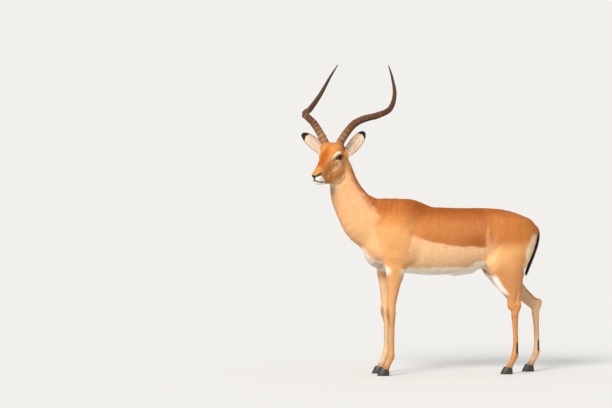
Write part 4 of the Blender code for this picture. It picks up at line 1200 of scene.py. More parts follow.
def head_colour(points):
    """The face: orange bridge, white brow, lips and chin, pale cheek, black nostrils and lids."""
    place = head_place(points)
    side, ahead, up = place.T
    edge = 0.0014 * wave(points, 0.016, 5) + 0.0006 * wave(points, 0.006, 6)
    top = np.interp(ahead, (0.0, 0.042, 0.074, 0.106, 0.148), (0.05, 0.017, 0.0, -0.018, -0.041))
    mouth = np.interp(ahead, [spot[1] for spot in MOUTH[::-1]], [spot[2] for spot in MOUTH[::-1]])

    def line(code, strength, radius, *places):
        return code, strength * ramp(line_gap(place, places) + edge, 1.3 * radius + 0.002, 0.4 * radius)

    bridge = ramp(side + edge, 0.032, 0.014) * ramp(ahead, 0.01, 0.05) * ramp(up, top - 0.026, top - 0.008)
    streak = ramp(side + edge, 0.018, 0.004) * ramp(ahead, -0.02, 0.03) * ramp(ahead, 0.125, 0.095)
    nose_top = ramp(ahead + 0.3 * (up - top) + edge, 0.11, 0.132) * ramp(up, top - 0.026, top - 0.014)
    lip_top = np.interp(ahead, (0.1, 0.115, 0.135, 0.155, 0.17), (-0.104, -0.092, -0.074, -0.061, -0.058))
    white = ramp(up + edge, lip_top + 0.003, lip_top - 0.003) * ramp(ahead, 0.09, 0.12)
    rims = []
    for name in SIDES:
        radius, past = eye_reach(name, points)
        rims.append((BLACK, ramp(past, 0.17, 0.1) * (radius < 0.032)))
    return painted(
        # cheek, forehead and the red bridge of the nose
        "cd9056",
        ("cc9a68", ramp(up, -0.085, -0.105) * ramp(ahead, 0.1, 0.04)),
        ("cf8442", ramp(up + edge, -0.02, 0.015) * ramp(ahead, 0.085, 0.03)),
        ("c27938", 0.9 * ramp(ahead, 0.03, 0.065) * ramp(up, top - 0.004, top - 0.02)),
        ("ba6212", bridge),
        ("a34d14", 0.6 * streak * ramp(up, top - 0.02, top - 0.008)),
        line("bb733c", 0.7, 0.014, (0.055, -0.03, -0.09), (0.044, 0.0, -0.092), (0.032, 0.04, -0.096)),
        line("e6b684", 0.85, 0.006, (0.052, -0.008, -0.046), (0.046, 0.012, -0.057), (0.036, 0.045, -0.068),
             (0.027, 0.086, -0.086)),
        line("a9683a", 0.5, 0.005, (0.0585, -0.043, -0.02), (0.055, -0.037, -0.06), (0.056, -0.034, -0.09),
             (0.056, -0.03, -0.108)),
        line("dca978", 0.7, 0.006, (0.056, -0.062, -0.045), (0.059, -0.051, -0.08), (0.058, -0.046, -0.1)),
        # jaw, throat, nose and lips
        # painted shade: a dark line along the jaw's lower edge
        line("8a6444", 0.55, 0.005, (0.024, 0.09, -0.108), (0.023, 0.065, -0.114), (0.026, 0.03, -0.124)),
        ("cc8e50", 0.95 * nose_top),
        ("cdb7a6", white),
        (WHITE, white * ramp(ahead, 0.11, 0.15)),
        (WHITE, ramp(up + edge, mouth - 0.001, mouth - 0.005) * ramp(ahead, 0.085, 0.115)),
        # white brow before and over the eye, pale patch under it, dark corners and lids
        line("f0dcc0", 1.0, 0.0065, (0.045, 0.031, 0.004), (0.0475, 0.022, 0.0145), (0.0525, 0.008, 0.0205),
             (0.057, -0.01, 0.02)),
        line("e4bd92", 0.8, 0.009, (0.043, 0.04, -0.002), (0.046, 0.03, -0.006)),
        line("e0ba90", 0.9, 0.012, (0.051, 0.008, -0.026), (0.053, -0.01, -0.03), (0.0515, -0.006, -0.044)),
        # painted shade in the tear groove below and before the eye's front corner
        line("9a6238", 0.7, 0.004, (0.047, 0.026, -0.001), (0.0423, 0.0386, -0.0068),
             (0.0413, 0.041, -0.0245)),
        line("81502c", 0.75, 0.0042, (0.0575, -0.042, 0.002), (0.056, -0.041, -0.026),
             (0.053, -0.039, -0.056)),
        line("2b1a10", 0.95, 0.0034, (0.0505, 0.012, -0.002), (0.0476, 0.0278, 0.0004)),
        line("2b1a10", 0.95, 0.0034, (0.0545, -0.03, -0.005), (0.0561, -0.0434, -0.0074)),
        ("bd7a42", 0.7 * ramp(up, 0.046, 0.062) * ramp(ahead, 0.03, 0.0)),
        *rims,
        # nostrils, the bare strip between them, the groove under it and the mouth
        line("14100e", 1.0, 0.0055, *NOSTRIL),
        line("2b211d", 1.0, 0.007, (0.0, 0.17, -0.058), (0.0, 0.171, -0.065)),
        line("14100e", 1.0, 0.003, (0.0, 0.171, -0.06), (0.0, 0.1705, -0.078)),
        line("1d120d", 1.0, 0.0036, *MOUTH),
        # dark behind the horns' feet and below the ears
        line("5a3a22", 0.7, 0.01, (0.06, -0.044, 0.052), (0.06, -0.05, 0.03)),
        line("5a3a22", 0.7, 0.01, (0.04, -0.066, 0.052), (0.036, -0.05, 0.06)),
        line("ecd2b4", 0.9, 0.01, (0.0636, -0.074, 0.02), (0.063, -0.07, -0.01)),
        # painted shadow below the ear's base
        line("3f2a1a", 0.8, 0.0075, (0.062, -0.082, -0.014), (0.059, -0.088, -0.032)),
    )
# ---- lie of the coat
def coat_flow(points):
    """The way the hair points, before it is laid on the skin."""
    x, y, z = points.T
    belly = ramp(z, 0.56, 0.53) * ramp(x, -0.25, -0.2) * ramp(x, 0.24, 0.18) * ramp(np.abs(y), 0.1, 0.08)
    head = past_cut(points, -0.01, 0.05)
    flow = painted(
        np.tile((1.0, 0.0, -0.25), (len(points), 1)),
        ((0.35, 0.0, -1.0), ramp(x, 0.1, 0.26) * ramp(z, 0.8, 0.66)),
        ((0.55, 0.0, -0.85), ramp(x, -0.12, -0.24) * ramp(z, 0.86, 0.74)),
        ((0.4, 0.0, -1.0), ramp(x + 0.3 * (z - 0.75), -0.33, -0.43)),
        ((0.08, 0.0, -1.0), ramp(z, 0.56, 0.48)),
        ((1.0, 0.0, 0.0), belly),
        (-HEAD_AHEAD, head),
    )
    below = ramp((points - EYE_MIDPOINT) @ HEAD_UP, -0.02, -0.08)
    return flow - 0.35 * (head * below)[:, None] * HEAD_UP


def coat_size(points):
    """Length and width of the tufts."""
    x, z = points.T[[0, 2]]
    length = 0.0085 + 0.0065 * ramp(z, 0.35, 0.58)
    length = length + 0.004 * ramp(x, 0.36, 0.42) * ramp(z, 0.5, 0.56)
    length = length - 0.0025 * ramp(z, 0.2, 0.06)
    head = past_cut(points, -0.02, 0.05)
    ahead = (points - EYE_MIDPOINT) @ HEAD_AHEAD
    length = length * (1.0 - head) + head * (0.0062 - 0.003 * ramp(ahead, 0.0, 0.12))
    return length, 0.00035 + 0.125 * length


def axis_unwrap(points, centre, axis, across, along_range, turn_range=(-math.pi, math.pi)):
    """Places on an unwrap round an axis: distance along it and the turn about it, each 0 to 1."""
    axis = normalised(np.array(axis, float))
    across = normalised(across - (across @ axis) * axis)
    offset = points - centre
    along = (offset @ axis - along_range[0]) / (along_range[1] - along_range[0])
    turn = np.arctan2(offset @ np.cross(axis, across), offset @ across)
    around = (turn - turn_range[0]) / (turn_range[1] - turn_range[0])
    return np.clip(np.column_stack((along, around)), 0.004, 0.996)


def trunk_unwrap(points, turn_range):
    return axis_unwrap(points, (0.0, 0.0, 0.68), (1.0, 0.0, 0.0), UP, (-0.42, 0.48), turn_range)


def leg_unwrap(points, forms):
    """Places on an unwrap of two legs, one in each half of the map."""
    places = np.zeros((len(points), 2))
    for index, (name, side) in enumerate(SIDES.items()):
        mine = points[:, 1] * side > 0
        rows = forms(name)[-1].rows[::-1]
        z = points[mine, 2]
        x = points[mine, 0] - np.interp(z, rows[:, 2], rows[:, 0])
        y = points[mine, 1] - np.interp(z, rows[:, 2], rows[:, 1])
        places[mine, 0] = 0.5 * index + 0.49 * (np.arctan2(y, x) / (2.0 * math.pi) + 0.5)
        places[mine, 1] = z / 0.52
    return np.clip(places, 0.004, 0.996)


def region_of(points):
    """Which coat piece each point of the skin belongs to."""
    x, y, z = points.T
    region = np.where(y < 0, "coat_trunk_left", "coat_trunk_right")
    neck = (points - np.array((-0.395, 0.0, 0.75))) @ (-0.952, 0.0, 0.305) > 0
    region = np.where(neck, "coat_neck", region)
    head = (points - np.array(HEAD_CUT_PLACE)) @ HEAD_CUT_NORMAL > 0
    region = np.where(head, "coat_head", region)
    is_leg = z < 0.492 + 0.02 * wave(points, 0.06, 41)
    return np.where(is_leg, np.where(x < 0, "coat_forelegs", "coat_hindlegs"), region)


COAT_PIECES = {  # each piece's unwrap
    "coat_head": lambda p: axis_unwrap(p, EYE_MIDPOINT, HEAD_AHEAD, HEAD_UP, (-0.14, 0.18)),
    "coat_neck": lambda p: axis_unwrap(p, (-0.45, 0.0, 0.8), (-0.45, 0.0, 0.89), LEFT, (-0.22, 0.3)),
    "coat_trunk_left": lambda p: trunk_unwrap(p, (0.0, math.pi)),
    "coat_trunk_right": lambda p: trunk_unwrap(p, (-math.pi, 0.0)),
    "coat_forelegs": lambda p: leg_unwrap(p, foreleg_forms),
    "coat_hindlegs": lambda p: leg_unwrap(p, hindleg_forms),
}


# ---- tufts
PIECE_LIMIT = 49000  # tufts in one piece
COVER = 3.4  # how many tufts deep the coat lies


def tufts(name, roots, normals, flows, lengths, widths, lifts, colours, patches, rings=1, facing=None):
    """Closed tufts of hair: a three-sided lock from each root to a point, lying along its flow."""
    count = len(roots)
    flows = normalised(flows - np.einsum("ij,ij->i", flows, normals)[:, None] * normals)
    across = np.cross(normals, flows)
    vertices = np.empty((count, 3 * rings + 1, 3))
    shades = np.empty((count, 3 * rings + 1, 3))
    ways = np.empty((count, 3 * rings + 1, 3))
    facing = normals if facing is None else facing
    lengths, widths, lifts = (np.broadcast_to(value, count)[:, None] for value in (lengths, widths, lifts))
    for ring in range(rings + 1):
        share = ring / rings
        rise = np.sin(lifts) * (share - 0.45 * share**2 * (rings > 1))
        middle = roots + lengths * (share * np.cos(lifts) * flows + rise * normals)
        shade = colours * (0.93 + 0.1 * share)
        if ring == rings:
            vertices[:, -1] = middle
            shades[:, -1] = shade
            ways[:, -1] = facing + 0.15 * flows
            continue
        half = 0.5 * widths * (1.0 - share**2) ** 0.7
        sink = 0.25 * widths * (ring == 0)
        vertices[:, 3 * ring] = middle - half * across - sink * normals
        vertices[:, 3 * ring + 1] = middle + half * across - sink * normals
        vertices[:, 3 * ring + 2] = middle + 0.35 * half * normals
        ways[:, 3 * ring] = facing - 0.45 * across
        ways[:, 3 * ring + 1] = facing + 0.45 * across
        ways[:, 3 * ring + 2] = facing
        shades[:, 3 * ring:3 * ring + 3] = shade[:, None]
    pattern = [(0, 2, 1)]
    for ring in range(rings - 1):
        low, high = 3 * ring, 3 * ring + 3
        for a, b in ((0, 1), (1, 2), (2, 0)):
            pattern += [(low + a, low + b, high + b), (low + a, high + b, high + a)]
    last, tip = 3 * rings - 3, 3 * rings
    pattern += [(last, last + 1, tip), (last + 1, last + 2, tip), (last + 2, last, tip)]
    corners = 3 * rings + 1
    triangles = (np.arange(count)[:, None, None] * corners + np.array(pattern)).reshape(-1, 3)
    fan = 0.0015 * np.array([(math.cos(turn), math.sin(turn)) for turn in np.linspace(0.0, 5.0, corners)])
    spread = (patches[:, None] + fan).reshape(-1, 2)
    vertices, shades, ways = (values.reshape(-1, 3) for values in (vertices, shades, ways))
    return raw_mesh(name, vertices, triangles, shades, spread, ways)


def scattered(mesh, density, random):
    """Seeded places on a mesh, so many for each square metre: points and normals."""
    places = coordinates(mesh) - OFFSET
    normals = vertex_normals(mesh)
    mesh.calc_loop_triangles()
    corners = fetched(mesh.loop_triangles, "vertices", 3, np.int32)
    a, b, c = (places[corners[:, i]] for i in range(3))
    middles = (a + b + c) / 3.0
    weight = 0.5 * np.linalg.norm(np.cross(b - a, c - a), axis=1) * density(middles)
    count = min(int(weight.sum()), PIECE_LIMIT)
    chosen = random.choice(len(weight), size=count, p=weight / weight.sum())
    u, v = random.random((2, count))
    flip = u + v > 1.0
    u[flip], v[flip] = 1.0 - u[flip], 1.0 - v[flip]
    shares = np.column_stack((1.0 - u - v, u, v))
    points = sum(shares[:, [i]] * places[corners[chosen, i]] for i in range(3))
    ways = normalised(sum(shares[:, [i]] * normals[corners[chosen, i]] for i in range(3)))
    return points, ways


def head_density(points):
    """Closer tufts on the face, none in the eyes, nostrils and on the bare nose."""
    place = head_place(points)
    density = 0.7 + 0.9 * ramp(place[:, 1], -0.02, 0.1)
    for name in SIDES:
        radius, past = eye_reach(name, points)
        density = density * np.where((radius < 0.034) & (past < 0.22), 0.0, 1.0)
    bare = ((0.0, 0.17, -0.058), (0.0, 0.171, -0.066))
    for line, near, far in ((NOSTRIL, 0.004, 0.0055), (bare, 0.006, 0.008), (MOUTH, 0.0018, 0.003)):
        density = density * ramp(line_gap(place, line), near, far)
    return density


def build_coat(skin, hair):
    """The body's coat, in one piece for each region."""
    random = np.random.default_rng(SEED)
    share = 1.0
    for name, unwrap in COAT_PIECES.items():

        def density(points):
            lengths, widths = coat_size(points)
            cover = COVER * (head_density(points) if name == "coat_head" else 1.0)
            return share * cover * (region_of(points) == name) / (lengths * widths)

        points, normals = scattered(skin.data, density, random)
        lengths, widths = coat_size(points)
        lengths = lengths * random.uniform(0.75, 1.25, len(points))
        widths = widths * random.uniform(0.8, 1.2, len(points))
        flows = normalised(coat_flow(points)) + random.normal(scale=0.06, size=points.shape)
        lifts = np.radians(random.uniform(3.0, 7.0, len(points)))
        tint = 1.0 + 0.03 * wave(points, 0.05, 31) + random.normal(scale=0.035, size=len(points))
        colours = coat_colour(points + 0.25 * lengths[:, None] * flows) * tint[:, None]
        piece = tufts(name, points, normals, flows, lengths, widths, lifts, colours, unwrap(points))
        finished(piece, hair, "coat")


# ---- skin
def build_skin(hide):
    mesh = build_skin_mesh()
    places = coordinates(mesh)
    paint(mesh, coat_colour(places) * 0.93)
    move_to(mesh, places + OFFSET)
    skin = bpy.data.objects.new("skin", mesh)
    bpy.context.scene.collection.objects.link(skin)
    flesh = [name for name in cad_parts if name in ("trunk", "neck", "head")
             or name.endswith(("_forearm", "_gaskin", "_cannon"))]
    return finished(skin, hide, "coat", *flesh)


# ---- eyes
def build_eye(name, wet):
    """Eyeball with a bulging cornea, dark iris and a level pupil."""
    centre = eye_centre(name)
    look, rear, up = eye_axes(name)
    rows, columns = 48, 64
    lean = np.repeat(np.linspace(0.0, math.pi, rows)[1:-1], columns)
    turn = np.tile(np.linspace(0.0, 2.0 * math.pi, columns, endpoint=False), rows - 2)
    radius = EYE_RADIUS * (0.985 + 0.03 * ramp(lean, 0.75, 0.45))
    vertices = centre + radius[:, None] * eye_ways(name, lean, turn)
    triangles = split_quads(grid_faces(rows - 2, columns, closed=True))
    vertices, triangles = capped(vertices, triangles, columns, centre + 1.015 * EYE_RADIUS * look,
                                 centre - 0.985 * EYE_RADIUS * look)
    lean = np.append(lean, (0.0, math.pi))
    turn = np.append(turn, (0.0, 0.0))
    level = np.cross(look, UP)
    level_turn = math.atan2(level @ up, level @ rear)
    along = np.abs(lean * np.cos(turn - level_turn))
    height = np.abs(lean * np.sin(turn - level_turn))
    colours = painted("6b5647", ("2a160c", ramp(lean, 0.74, 0.7)),
                      ("150b07", ramp(np.abs(lean - 0.68), 0.06, 0.02)),
                      ("030303", ramp((along / 0.42) ** 2 + (height / 0.2) ** 2, 1.15, 0.9)))
    return finished(raw_mesh(f"eyeball_{name}", vertices, triangles, colours), wet, "eye", f"eye_{name}")


def build_lids(name, rim):
    """The lids' dark margin, from the eyeball's surface out into the skin."""
    columns = 96
    turn = np.linspace(0.0, 2.0 * math.pi, columns, endpoint=False)
    profile = (  # leaning past the opening, height over the eyeball
        (0.05, 0.0), (0.005, 0.0002), (0.0, 0.0008), (0.03, 0.0016), (0.09, 0.0021),
        (0.14, 0.0022), (0.21, 0.0019), (0.27, 0.0008), (0.27, -0.001))
    centre = eye_centre(name)
    vertices = np.vstack([centre + (EYE_RADIUS + height) * eye_ways(name, lid_opening(turn) + past, turn)
                          for past, height in profile])
    faces = np.array(grid_faces(len(profile) + 1, columns, closed=True)) % len(vertices)
    triangles = outward(vertices - eye_centre(name), split_quads(faces))
    dark = np.repeat((1.0, 1.0, 1.0, 1.0, 0.95, 0.7, 0.3, 0.2, 0.2), columns)
    lids = raw_mesh(f"eyelids_{name}", vertices, triangles, lay(coat_colour(vertices), BLACK, dark))
    return finished(lids, rim, "coat")


def build_lashes(name, hair, random):
    count = 90
    turn = random.uniform(0.35, 2.75, count)
    outwards = eye_ways(name, np.full(count, math.pi / 2.0), turn)
    ways = eye_ways(name, lid_opening(turn) + 0.01, turn)
    roots = eye_centre(name) + (EYE_RADIUS + 0.001) * ways
    flows = outwards + 0.9 * eye_axes(name)[0]
    colours = np.tile(tone(BLACK), (count, 1))
    lashes = tufts(f"lashes_{name}", roots, ways, flows, random.uniform(0.005, 0.008, count), 0.0005,
                   0.35, colours, np.column_stack((turn / 3.2, np.full(count, 0.5))), rings=3)
    return finished(lashes, hair, "coat")


# ---- horns
RINGED_SHARE = 0.7
RINGS = 19


def ring_relief(share, random):
    """Height of the horn's uneven rings, steep towards the root and sloping towards the tip."""
    place = np.clip(share / RINGED_SHARE, 0.0, 1.0)
    count = RINGS * place ** 0.93 + 0.3 * np.sin(9.0 * place + random.uniform(0.0, 6.0))
    heights = random.uniform(0.45, 1.15, RINGS + 3)
    phase = count % 1.0
    wedge = ramp(phase, 0.0, 0.34) * ramp(phase, 1.0, 0.34)
    fade = ramp(share, RINGED_SHARE + 0.02, RINGED_SHARE - 0.2) * ramp(share, 0.0, 0.04)
    return wedge * fade * heights[np.floor(count).astype(int) + 1]


def build_horn(name, keratin):
    path = horn_path(HANDS[name], samples=34)
    shares = shares_along(path)
    random = np.random.default_rng(SEED + int(HANDS[name]))
    bulk = np.array([horn_radius(share) for share in shares])
    relief = ring_relief(shares, random)
    lean = 1.3 * np.sin(np.arange(len(path)) * 0.21 + random.uniform(0.0, 6.0))
    sides = 40

    def shape(turns, ring):
        front = 0.55 + 0.45 * np.cos(turns - 0.3)
        share = shares[ring]
        grooves = 0.012 * np.sin(9.0 * turns + 4.0 * share) + 0.01 * np.sin(5.0 * turns - 23.0 * share)
        height = 0.0026 * relief[ring] * front * (1.0 + 0.6 * np.sin(2.0 * turns + lean[ring]))
        return 0.955 + grooves * ramp(share, 0.9, 0.6) + height / bulk[ring]

    vertices, triangles = swept(path, HEAD_AHEAD_LEVEL, bulk, sides, shape)
    share = np.append(np.repeat(shares, sides), (0.0, 1.0))
    crest = np.append(np.repeat(relief, sides), (0.0, 0.0))
    ringed = ramp(share, RINGED_SHARE, RINGED_SHARE - 0.2)
    blotch = ramp(wave(vertices, 0.03, 43), -0.6, 0.7)
    # how far each point lies below the horn's centre line, for the painted shade on its underside
    low = np.append(np.repeat(path[:, 2], sides), path[[0, -1], 2]) - vertices[:, 2]
    thick = np.append(np.repeat(bulk, sides), bulk[[0, -1]])
    colours = painted(
        "946a48", ("5f3a22", ramp(share, 0.04, 0.24)),
        ("4d311c", ramp(share, 0.32, 0.62)),
        ("3c2b1e", ramp(share, 0.7, 0.95)),
        ("3b281c", ringed * (0.3 + 0.45 * blotch) * ramp(crest, 0.35, 0.0)),
        ("a37c5c", 0.45 * ringed * blotch * ramp(crest, 0.6, 1.0)),
        # painted shade: darker on the horn's underside
        ("22170f", 0.6 * ramp(low / thick, 0.1, 0.9)),
    )
    colours = colours * (1.0 + 0.13 * wave(vertices, 0.016, 41) + 0.06 * wave(vertices, 0.005, 42))[:, None]
    horn = raw_mesh(f"horn_sheath_{name}", vertices, triangles, colours)
    return finished(horn, keratin, "horn", f"horn_{name}")


# ---- ears
def build_ear(name, felt, hair):
    """The ear's cup with its rim, and the hair in and on it."""
    root, tip, across, facing = ear_frame(name)
    rows, columns = 44, 26
    grid = []
    for share in np.linspace(0.0, 1.0, rows):
        half_width, wrap, thickness = ear_section(share)
        thickness = min(thickness, 0.0034 + 0.007 * float(ramp(share, 0.24, 0.0)))
        middle = root + share * (tip - root)
        bend = half_width / math.sin(min(wrap, math.pi / 2))
        for is_inner, turns in ((False, np.linspace(-wrap, wrap, columns)),
                                (True, np.linspace(wrap, -wrap, columns))):
            rim = np.maximum(0.35, 1.0 - (turns / wrap) ** 4)
            depth_radius = bend - is_inner * thickness * rim
            side_radius = bend - is_inner * min(thickness, 0.004) * rim
            fold = 0.0012 * np.cos(turns / wrap * 9.0) * is_inner
            fold = fold * ramp(share, 0.1, 0.25) * ramp(share, 0.9, 0.6)
            grid.append(middle + (side_radius * np.sin(turns))[:, None] * across
                        + (bend * EAR_SET - (depth_radius - fold) * np.cos(turns))[:, None] * facing)
    vertices = np.vstack(grid)
    around = 2 * columns
    triangles = split_quads(grid_faces(rows, around, closed=True))
    caps = []
    for row in (0, rows - 1):
        start = row * around
        for column in range(columns - 1):
            mirror = start + around - 1 - column
            quad = (start + column, start + column + 1, mirror - 1, mirror)
            caps.append(quad if row else quad[::-1])
    triangles = outward(vertices - root, np.vstack((triangles, split_quads(caps))))
    share = np.repeat(np.linspace(0.0, 1.0, rows), around)
    column = np.tile(np.arange(around), rows)
    is_inner = column >= columns
    edge = np.where(is_inner, np.abs(2.0 * (column - columns) / (columns - 1) - 1.0),
                    np.abs(2.0 * column / (columns - 1) - 1.0))
    colours = ear_colour(share, edge, is_inner)
    ear = raw_mesh(f"ear_shell_{name}", vertices, triangles, colours)
    finished(ear, felt, "ear_hair", f"ear_{name}")
    build_ear_hair(name, hair)


def ear_colour(share, edge, is_inner):
    lines = ramp(np.abs(np.abs(edge) - 0.36), 0.06, 0.02) * ramp(share, 0.18, 0.3) * ramp(share, 0.8, 0.6)
    streaks = ramp(np.sin(43.0 * edge + 9.0 * share), 0.9, 0.98) * ramp(share, 0.2, 0.4)
    outside = painted("cc8d52", ("b8773f", 0.6 * ramp(share, 0.3, 0.0)))
    inside = painted("ecd2b8", ("cfa88c", 0.45 * lines), ("b98d68", 0.7 * ramp(share, 0.22, 0.08)),
                     ("7d5f49", 0.5 * streaks))
    return painted(np.where(is_inner[:, None], inside, outside),
                   ("8d6038", 0.7 * ramp(edge, 0.93, 1.0) * ramp(share, 0.15, 0.3)),
                   (BLACK, ramp(share + 0.04 * edge, 0.83, 0.88)))


def ear_surface(name, share, turn, is_inner):
    """Points on the ear at shares of its length and of its wrap, with the surface's outward way."""
    root, tip, across, facing = ear_frame(name)
    sections = np.array([ear_section(value) for value in share])
    half_width, wrap, thickness = sections.T
    thickness = np.minimum(thickness, 0.004)
    bend = half_width / np.sin(np.minimum(wrap, math.pi / 2))
    angle = turn * wrap
    radius = bend - is_inner * thickness
    way = np.sin(angle)[:, None] * across - np.cos(angle)[:, None] * facing
    places = root + share[:, None] * (tip - root) + radius[:, None] * way + (bend * EAR_SET)[:, None] * facing
    return places, np.where(is_inner[:, None], -way, way)


def build_ear_hair(name, hair):
    random = np.random.default_rng(SEED + 50 + int(HANDS[name]))
    root, tip, across, facing = ear_frame(name)
    count = 9000
    share = random.uniform(0.1, 0.985, count) ** 0.85
    turn = random.uniform(-1.0, 1.0, count)
    is_inner = random.random(count) < 0.6
    places, ways = ear_surface(name, share, turn, is_inner)
    axis = normalised(tip - root)
    inward = -np.sign(turn)[:, None] * across
    flows = np.where(is_inner[:, None], 0.75 * axis + 0.8 * inward * (np.abs(turn) > 0.25)[:, None], axis)
    flows = flows + random.normal(scale=0.14, size=flows.shape)
    lengths = np.where(is_inner, 0.011 - 0.005 * share, 0.0058) * random.uniform(0.7, 1.2, count)
    lengths = lengths * np.where(share > 0.85, 0.8, 1.0)
    widths = np.where(is_inner, 0.0011, 0.0013)
    lifts = np.where(is_inner, 0.22, 0.13)
    edge = np.minimum(np.abs(turn), 1.0)
    colours = ear_colour(share, edge, is_inner) * random.uniform(0.92, 1.08, count)[:, None]
    patches = np.column_stack((0.01 + 0.98 * share, 0.25 + 0.24 * turn + 0.5 * is_inner))
    shading = np.where(is_inner[:, None], 0.35 * ways + 0.65 * facing, ways)
    piece = tufts(f"ear_coat_{name}", places, ways, flows, lengths, widths, lifts, colours, patches,
                  facing=shading)
    return finished(piece, hair, "ear_hair")


# ---- tail
def build_tail(hide, hair):
    path = tail_path()
    shares = shares_along(path)
    fine = np.linspace(0.0, 1.0, 60)
    path = np.column_stack([np.interp(fine, shares, path[:, i]) for i in range(3)])
    marks = (0.0, 0.25, 0.6, 0.9, 1.0)
    wide = np.interp(fine, marks, (0.012, 0.0135, 0.014, 0.008, 0.003))
    deep = np.interp(fine, marks, (0.0095, 0.0095, 0.0088, 0.0065, 0.002))
    vertices, triangles = swept(path, LEFT, np.column_stack((wide, deep)), 24)
    core = raw_mesh("tail_core", vertices, triangles, tail_colour(vertices, fine_share(vertices, path, fine)))
    finished(core, hide, "tail_hair", "tail")

    random = np.random.default_rng(SEED + 70)
    count = 6500
    share = random.uniform(0.0, 0.96, count)
    turn = random.uniform(0.0, 2.0 * math.pi, count)
    centre = np.column_stack([np.interp(share, fine, path[:, i]) for i in range(3)])
    ahead = np.column_stack([np.interp(np.minimum(share + 0.02, 1.0), fine, path[:, i]) for i in range(3)])
    way = normalised(ahead - centre + 1e-9)
    second = np.cross(way, LEFT)
    spread = (np.cos(turn) * np.interp(share, fine, wide))[:, None] * LEFT
    depth = (np.sin(turn) * np.interp(share, fine, deep))[:, None] * second
    roots = centre + 0.85 * (spread + depth)
    normals = normalised(spread / 0.013**2 + depth / 0.008**2 + 1e-9)
    lengths = (0.014 + 0.02 * share) * random.uniform(0.7, 1.15, count)
    flows = way + random.normal(scale=0.09, size=way.shape)
    colours = tail_colour(roots, share) * random.uniform(0.85, 1.15, count)[:, None]
    patches = np.column_stack((0.01 + 0.98 * share, 0.01 + 0.98 * turn / (2.0 * math.pi)))
    piece = tufts("tail_coat", roots, normals, flows, lengths, 0.0016, 0.1, colours, patches, rings=2)
    return finished(piece, hair, "tail_hair")


def fine_share(vertices, path, shares):
    nearest = np.argmin(np.linalg.norm(vertices[:, None] - path[None], axis=2), axis=1)
    return shares[nearest]


def tail_colour(points, share):
    """Rufous root, then black sides, brown along the back."""
    path = tail_path()
    middle = np.interp(points[:, 2], path[::-1, 2], path[::-1, 0])
    return painted("2c1d15", ("84694f", 0.8 * ramp(points[:, 0] - middle, 0.001, 0.007)),
                   (RUFOUS, ramp(share, 0.26, 0.14)))


# ---- hooves
def build_claw(name, middle, outward_side, keratin):
    """One half of a cloven hoof: a pointed wedge with growth rings, flat on its sole and inner wall."""
    points = 33
    levels = np.linspace(0.0, 1.0, 22)
    marks = (0.0, 0.3, 0.7, 1.0)
    toes = np.interp(levels, marks, (0.0415, 0.0368, 0.0278, 0.0212))
    heels = np.interp(levels, marks, (0.0208, 0.0222, 0.0212, 0.0188))
    outers = np.interp(levels, marks, (0.0197, 0.0202, 0.0197, 0.0182))
    rings = 0.0003 * np.sin(levels * 34.0) * ramp(levels, 0.0, 0.15)
    turn = np.linspace(0.0, math.pi, points)
    is_toe = np.cos(turn) > 0
    vertices = []
    for level, toe, heel, outer, ring in zip(levels, toes, heels, outers, rings):
        reach = np.where(is_toe, toe, heel) + ring
        bulge = np.sin(turn) ** np.where(is_toe, 1.15, 0.7)
        x = middle[0] - reach * np.cos(turn) - 0.004
        y = middle[1] + outward_side * (0.0012 + (outer + ring) * bulge)
        top = middle[2] - CORONET_SLOPE * (x - middle[0]) - 0.0006
        vertices.append(np.column_stack((x, y, level * top)))
    vertices = np.vstack(vertices)
    triangles = split_quads(grid_faces(len(levels), points, closed=True))
    caps = []
    for row in (0, len(levels) - 1):
        start = row * points
        fan = [(start, start + i, start + i + 1) for i in range(1, points - 1)]
        caps += [face[::-1] for face in fan] if row == 0 else fan
    triangles = outward(vertices - vertices.mean(axis=0), np.vstack((triangles, caps)))
    share = np.repeat(levels, points)
    colours = painted("2b2622", ("4a4038", 0.5 * ramp(share, 0.75, 1.0)),
                      ("5a4c3e", 0.4 * ramp(share, 0.12, 0.0)))
    claw = raw_mesh(f"hoof_{name}", vertices, triangles, colours)
    return finished(claw, keratin, "hoof", name)


def build_hooves(keratin):
    for limb in ("foreleg", "hindleg"):
        for name, side in SIDES.items():
            middle = coronet_place(limb, name)
            build_claw(f"{limb}_{name}_claw_outer", middle, side, keratin)
            build_claw(f"{limb}_{name}_claw_inner", middle, -side, keratin)


# ---- camera, floor and light
VIEW_AZIMUTH = math.radians(-10.0)
VIEW_HEIGHT = math.radians(2.5)
VIEW_DISTANCE = 26.0
VIEW_AIM = np.array((-0.7234, 0.1278, 0.867))
VIEW_LENS = 299.9


def build_camera():
    back = np.array((math.sin(VIEW_AZIMUTH) * math.cos(VIEW_HEIGHT),
                     -math.cos(VIEW_AZIMUTH) * math.cos(VIEW_HEIGHT), math.sin(VIEW_HEIGHT)))
    data = bpy.data.cameras.new("camera")
    data.sensor_width = 36.0
    data.lens = VIEW_LENS
    data.clip_end = 3000.0
    camera = bpy.data.objects.new("camera", data)
    camera.location = Vector(VIEW_AIM + OFFSET + VIEW_DISTANCE * back)
    camera.rotation_euler = Vector(back).to_track_quat("Z", "Y").to_euler()
    bpy.context.scene.collection.objects.link(camera)
    bpy.context.scene.camera = camera


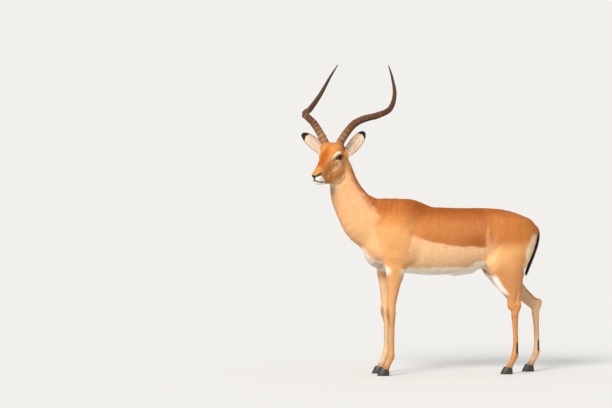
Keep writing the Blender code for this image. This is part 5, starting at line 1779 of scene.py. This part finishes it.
def build_stage():
    """A plain pale floor under a soft even sky, with one soft key from the upper left front."""
    size = 1500.0
    mesh = bpy.data.meshes.new("floor")
    mesh.from_pydata([(-size, -size, 0.0), (size, -size, 0.0), (size, size, 0.0), (-size, size, 0.0)],
                     [], [(0, 1, 2, 3)])
    floor = bpy.data.objects.new("floor", mesh)
    paper = bpy.data.materials.new("floor")
    paper.use_nodes = True
    shader = paper.node_tree.nodes["Principled BSDF"]
    shader.inputs["Base Color"].default_value = (0.62, 0.612, 0.595, 1.0)
    shader.inputs["Roughness"].default_value = 0.9
    shader.inputs["Specular IOR Level"].default_value = 0.1
    mesh.materials.append(paper)
    bpy.context.scene.collection.objects.link(floor)

    world = bpy.data.worlds.new("studio")
    world.use_nodes = True
    background = world.node_tree.nodes["Background"]
    background.inputs["Color"].default_value = (0.97, 0.98, 1.0, 1.0)
    background.inputs["Strength"].default_value = 0.9
    bpy.context.scene.world = world
    data = bpy.data.lights.new("key", "SUN")
    data.energy = 3.1
    data.angle = math.radians(22.0)
    data.color = (1.0, 0.965, 0.9)
    key = bpy.data.objects.new("key", data)
    way = Vector((-0.62, -0.85, 0.72)).normalized()
    key.rotation_euler = way.to_track_quat("Z", "Y").to_euler()
    bpy.context.scene.collection.objects.link(key)
    bpy.context.scene.view_settings.view_transform = "Standard"


# ---- whole scene
def eye_offset():
    low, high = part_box("eye_left")
    return np.array((low + high) / 2) - eye_centre("left")


OFFSET = eye_offset()


def build():
    build_camera()
    build_stage()
    hide = painted_material("hide", 0.85, 0.0022, 0.0006, 0.07)
    hair = painted_material("hair", 0.62, 0.004, 0.0001, 0.05)
    felt = painted_material("ear_felt", 0.85, 0.0015, 0.0003, 0.08)
    rim = painted_material("lid_rim", 0.35, 0.0015, 0.0001, 0.05, shine=0.5)
    wet = painted_material("eye_wet", 0.05, 0.004, 0.00001, 0.05, shine=0.18)
    horn = painted_material("horn_keratin", 0.6, 0.0016, 0.0003, 0.14, shine=0.18)
    hoof = painted_material("hoof_keratin", 0.38, 0.0015, 0.00015, 0.12, shine=0.5)
    skin = build_skin(hide)
    build_coat(skin, hair)
    random = np.random.default_rng(SEED + 90)
    for name in SIDES:
        build_eye(name, wet)
        build_lids(name, rim)
        build_lashes(name, hair, random)
        build_horn(name, horn)
        build_ear(name, felt, hair)
    build_tail(hide, hair)
    build_hooves(hoof)


build()
